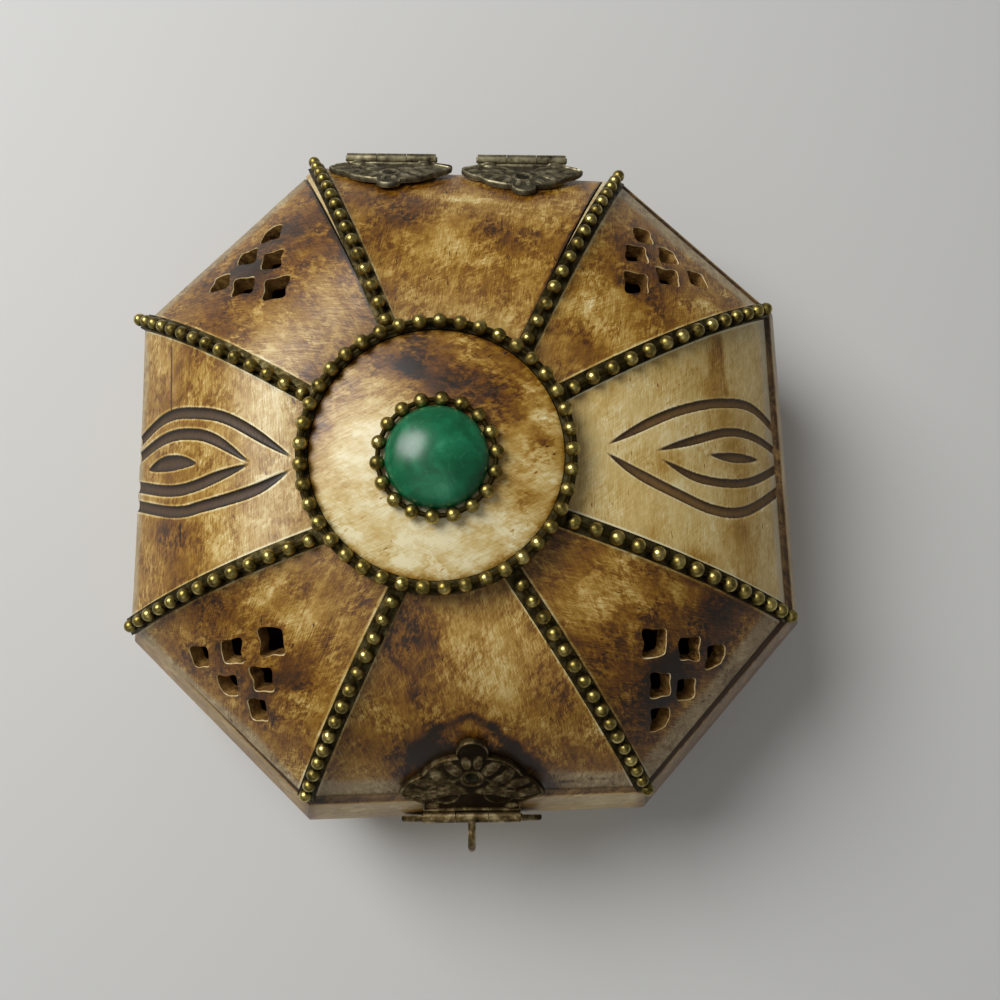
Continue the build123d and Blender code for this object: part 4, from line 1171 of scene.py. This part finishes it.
def leaf_skin(name, node, body, x, pin, inside, size, hole, towards, brass=None, dull=0.0):
    """The pressed brass face of one leaf, lapped over the edge of the flat plate behind it. inside is
    how far the plate's back lies from the pin's axis, hole is the nail hole's radius or a slot, and
    dull says how much darker the right half is painted, as shade."""
    out, run = leaf_directions(node, Vector(towards))
    width, length, root = size
    turns, steps = 360, 30
    angles = np.linspace(-pi, pi, turns, endpoint=False)
    centre, inner = hole_reach(hole, length, root, angles)
    outer = reach_of(leaf_edge(width, length, root), centre, angles) + SKIN_LAP
    around = np.column_stack([np.cos(angles), np.sin(angles)])
    rows, heights, grime_and_shade_rows = [], [], []
    for k in range(steps + 1):
        reach = inner + (outer - inner) * k / steps
        flat = centre + around * reach[:, None]
        lift = pressed_height(flat[:, 0], flat[:, 1], outer - reach, reach - inner, width, length, root,
                              brass is hasp_brass)
        rows.append(flat)
        heights.append(LEAF_THICKNESS + SKIN_GAP + lift)
        # The right half of the hasp is painted darker as shade; the low parts of the pattern hold dirt
        shadow = dull * np.clip(0.5 + flat[:, 0] / width, 0, 1)
        grime_and_shade_rows.append(np.clip(0.95 - lift / 0.24, 0, 1) * 0.8 + shadow)
    # Both edges of the skin are turned down to the leaf's foot
    foot = [np.full(turns, SKIN_FOOT)]
    rows, heights = [rows[0]] + rows + [rows[-1]], foot + heights + foot
    grime_and_shade_rows = [grime_and_shade_rows[0]] + grime_and_shade_rows + [grime_and_shade_rows[-1]]
    flat, lift = np.vstack(rows), np.concatenate(heights)
    points = np.array([x, pin[1], pin[2]]) + np.outer(flat[:, 0], [1, 0, 0]) + np.outer(flat[:, 1], run)
    points += np.outer(lift - inside, out)
    faces = tube_faces(turns, len(rows), ends=False)
    last = (len(rows) - 1) * turns
    faces += [(last + k, k, (k + 1) % turns, last + (k + 1) % turns) for k in range(turns)]
    grime_and_shade = np.clip(np.concatenate(grime_and_shade_rows), 0, 1)
    piece = make_piece(name, points, faces, brass or leaf_brass, {"grime_and_shade": grime_and_shade})
    face_outwards(piece)
    sharpen(piece, 50.0)
    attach(piece, body)


def make_leaf_skins():
    """A pressed skin for each leaf of the hinges and the hasp, set out from its joint."""
    places = {joint["name"]: np.array(joint["pos_m"]) / MM for joint in frame["joints"]}
    for hand, x in zip(("left", "right"), HINGE_X):
        for body, towards in (("lid", (0, 1, 1)), ("base", (0, 1, -0.1))):
            node = "hinge_" + body + "_leaf_" + hand
            leaf_skin("pressed_" + node, node, body, x, places["lid_hinge"], KNUCKLE_RADIUS, HINGE_LEAF,
                      HINGE_NAIL_GAP, towards)
    # The hasp's right half is painted darker as shade
    leaf_skin("pressed_hasp_lid_leaf", "hasp_lid_leaf", "lid", HASP_X, places["hasp_hinge"],
              KNUCKLE_RADIUS, HASP_LEAF, HASP_NAIL_GAP, (0, -1, 1), hasp_brass, 0.45)
    leaf_skin("pressed_hasp_drop_leaf", "hasp_drop_leaf", "hasp", HASP_X, places["hasp_hinge"],
              LEAF_THICKNESS / 2, DROP_LEAF, "slot", (0, -1, -0.1), hasp_brass)


# Pieces whose solid already has the right shape

def paint(node, material):
    """Gives a solid its finish."""
    mesh = frame["nodes"][node].data
    mesh.materials.clear()
    mesh.materials.append(material)


def paint_solids():
    """The solids that show as they are, and the plates behind the pressed skins."""
    finishes = [
        (strip_brass, ["disc_band"] + ["ridge_strip_" + ridge for ridge in RIDGES]),
        (leaf_brass, [node + hand for node in ("hinge_lid_leaf_", "hinge_base_leaf_", "hinge_pin_")
                      for hand in ("left", "right")]),
        (hasp_brass, ["hasp_lid_leaf", "hasp_pin", "hasp_drop_leaf", "staple"]),
        (nail_brass, ["lid_nails", "base_nails"]),
        (bone_sliver, ["lid_sliver_back_left", "lid_sliver_back_right"]),
        (stone_green, ["stone"]),
        (board_wood, ["base_board"]),
    ]
    for material, nodes in finishes:
        for node in nodes:
            paint(node, material)


# Table, light and camera

TABLE_HALF = 900


def make_stage():
    """A flat square table, far larger than the box."""
    corners = [(x * TABLE_HALF, y * TABLE_HALF, 0) for x, y in ((-1, -1), (1, -1), (1, 1), (-1, 1))]
    floor = make_piece("table", corners, [(0, 1, 2, 3)], table_paint)


def soft_lamp(name, place, size, power):
    """A round lamp at a place in metres, turned to the middle of the box."""
    lamp = bpy.data.lights.new(name, "AREA")
    lamp.shape = "DISK"
    lamp.size = size
    lamp.energy = power
    holder = bpy.data.objects.new(name, lamp)
    holder.location = place
    holder.rotation_euler = (Vector((0, 0, 0.05)) - Vector(place)).to_track_quat("-Z", "Y").to_euler()
    bpy.context.scene.collection.objects.link(holder)


def light_scene():
    """Most light comes from the back left, and a little from the front."""
    soft_lamp("window", (-0.42, 0.28, 0.62), size=0.5, power=5.4)
    soft_lamp("room", (-0.15, -0.55, 0.85), size=1.1, power=1.05)
    world = bpy.data.worlds.new("room")
    world.use_nodes = True
    world.node_tree.nodes["Background"].inputs["Color"].default_value = (1.0, 0.98, 0.94, 1.0)
    world.node_tree.nodes["Background"].inputs["Strength"].default_value = 0.17
    bpy.context.scene.world = world
    bpy.context.scene.view_settings.view_transform = "Standard"


# The picture was taken from 24 cm above the table, a little in front of the box. The lens is as long
# as the sensor is wide, and tilt and roll are in degrees
CAMERA_PLACE = (1.22, -38.87, 239.2)
CAMERA_TILT = 9.33
CAMERA_ROLL = -1.90
CAMERA_LENS = 36


def place_camera():
    lens = bpy.data.cameras.new("camera")
    lens.sensor_width = CAMERA_LENS
    lens.lens = CAMERA_LENS
    lens.clip_start = 0.01
    camera = bpy.data.objects.new("camera", lens)
    turn = Matrix.Rotation(radians(CAMERA_TILT), 4, "X") @ Matrix.Rotation(radians(CAMERA_ROLL), 4, "Y")
    camera.matrix_world = Matrix.Translation(Vector(CAMERA_PLACE) * MM) @ turn
    bpy.context.scene.collection.objects.link(camera)
    bpy.context.scene.camera = camera


make_lid_plates()
make_walls()
make_disc()
make_ridge_beads()
make_rings()
make_leaf_skins()
paint_solids()
make_stage()
light_scene()
place_camera()
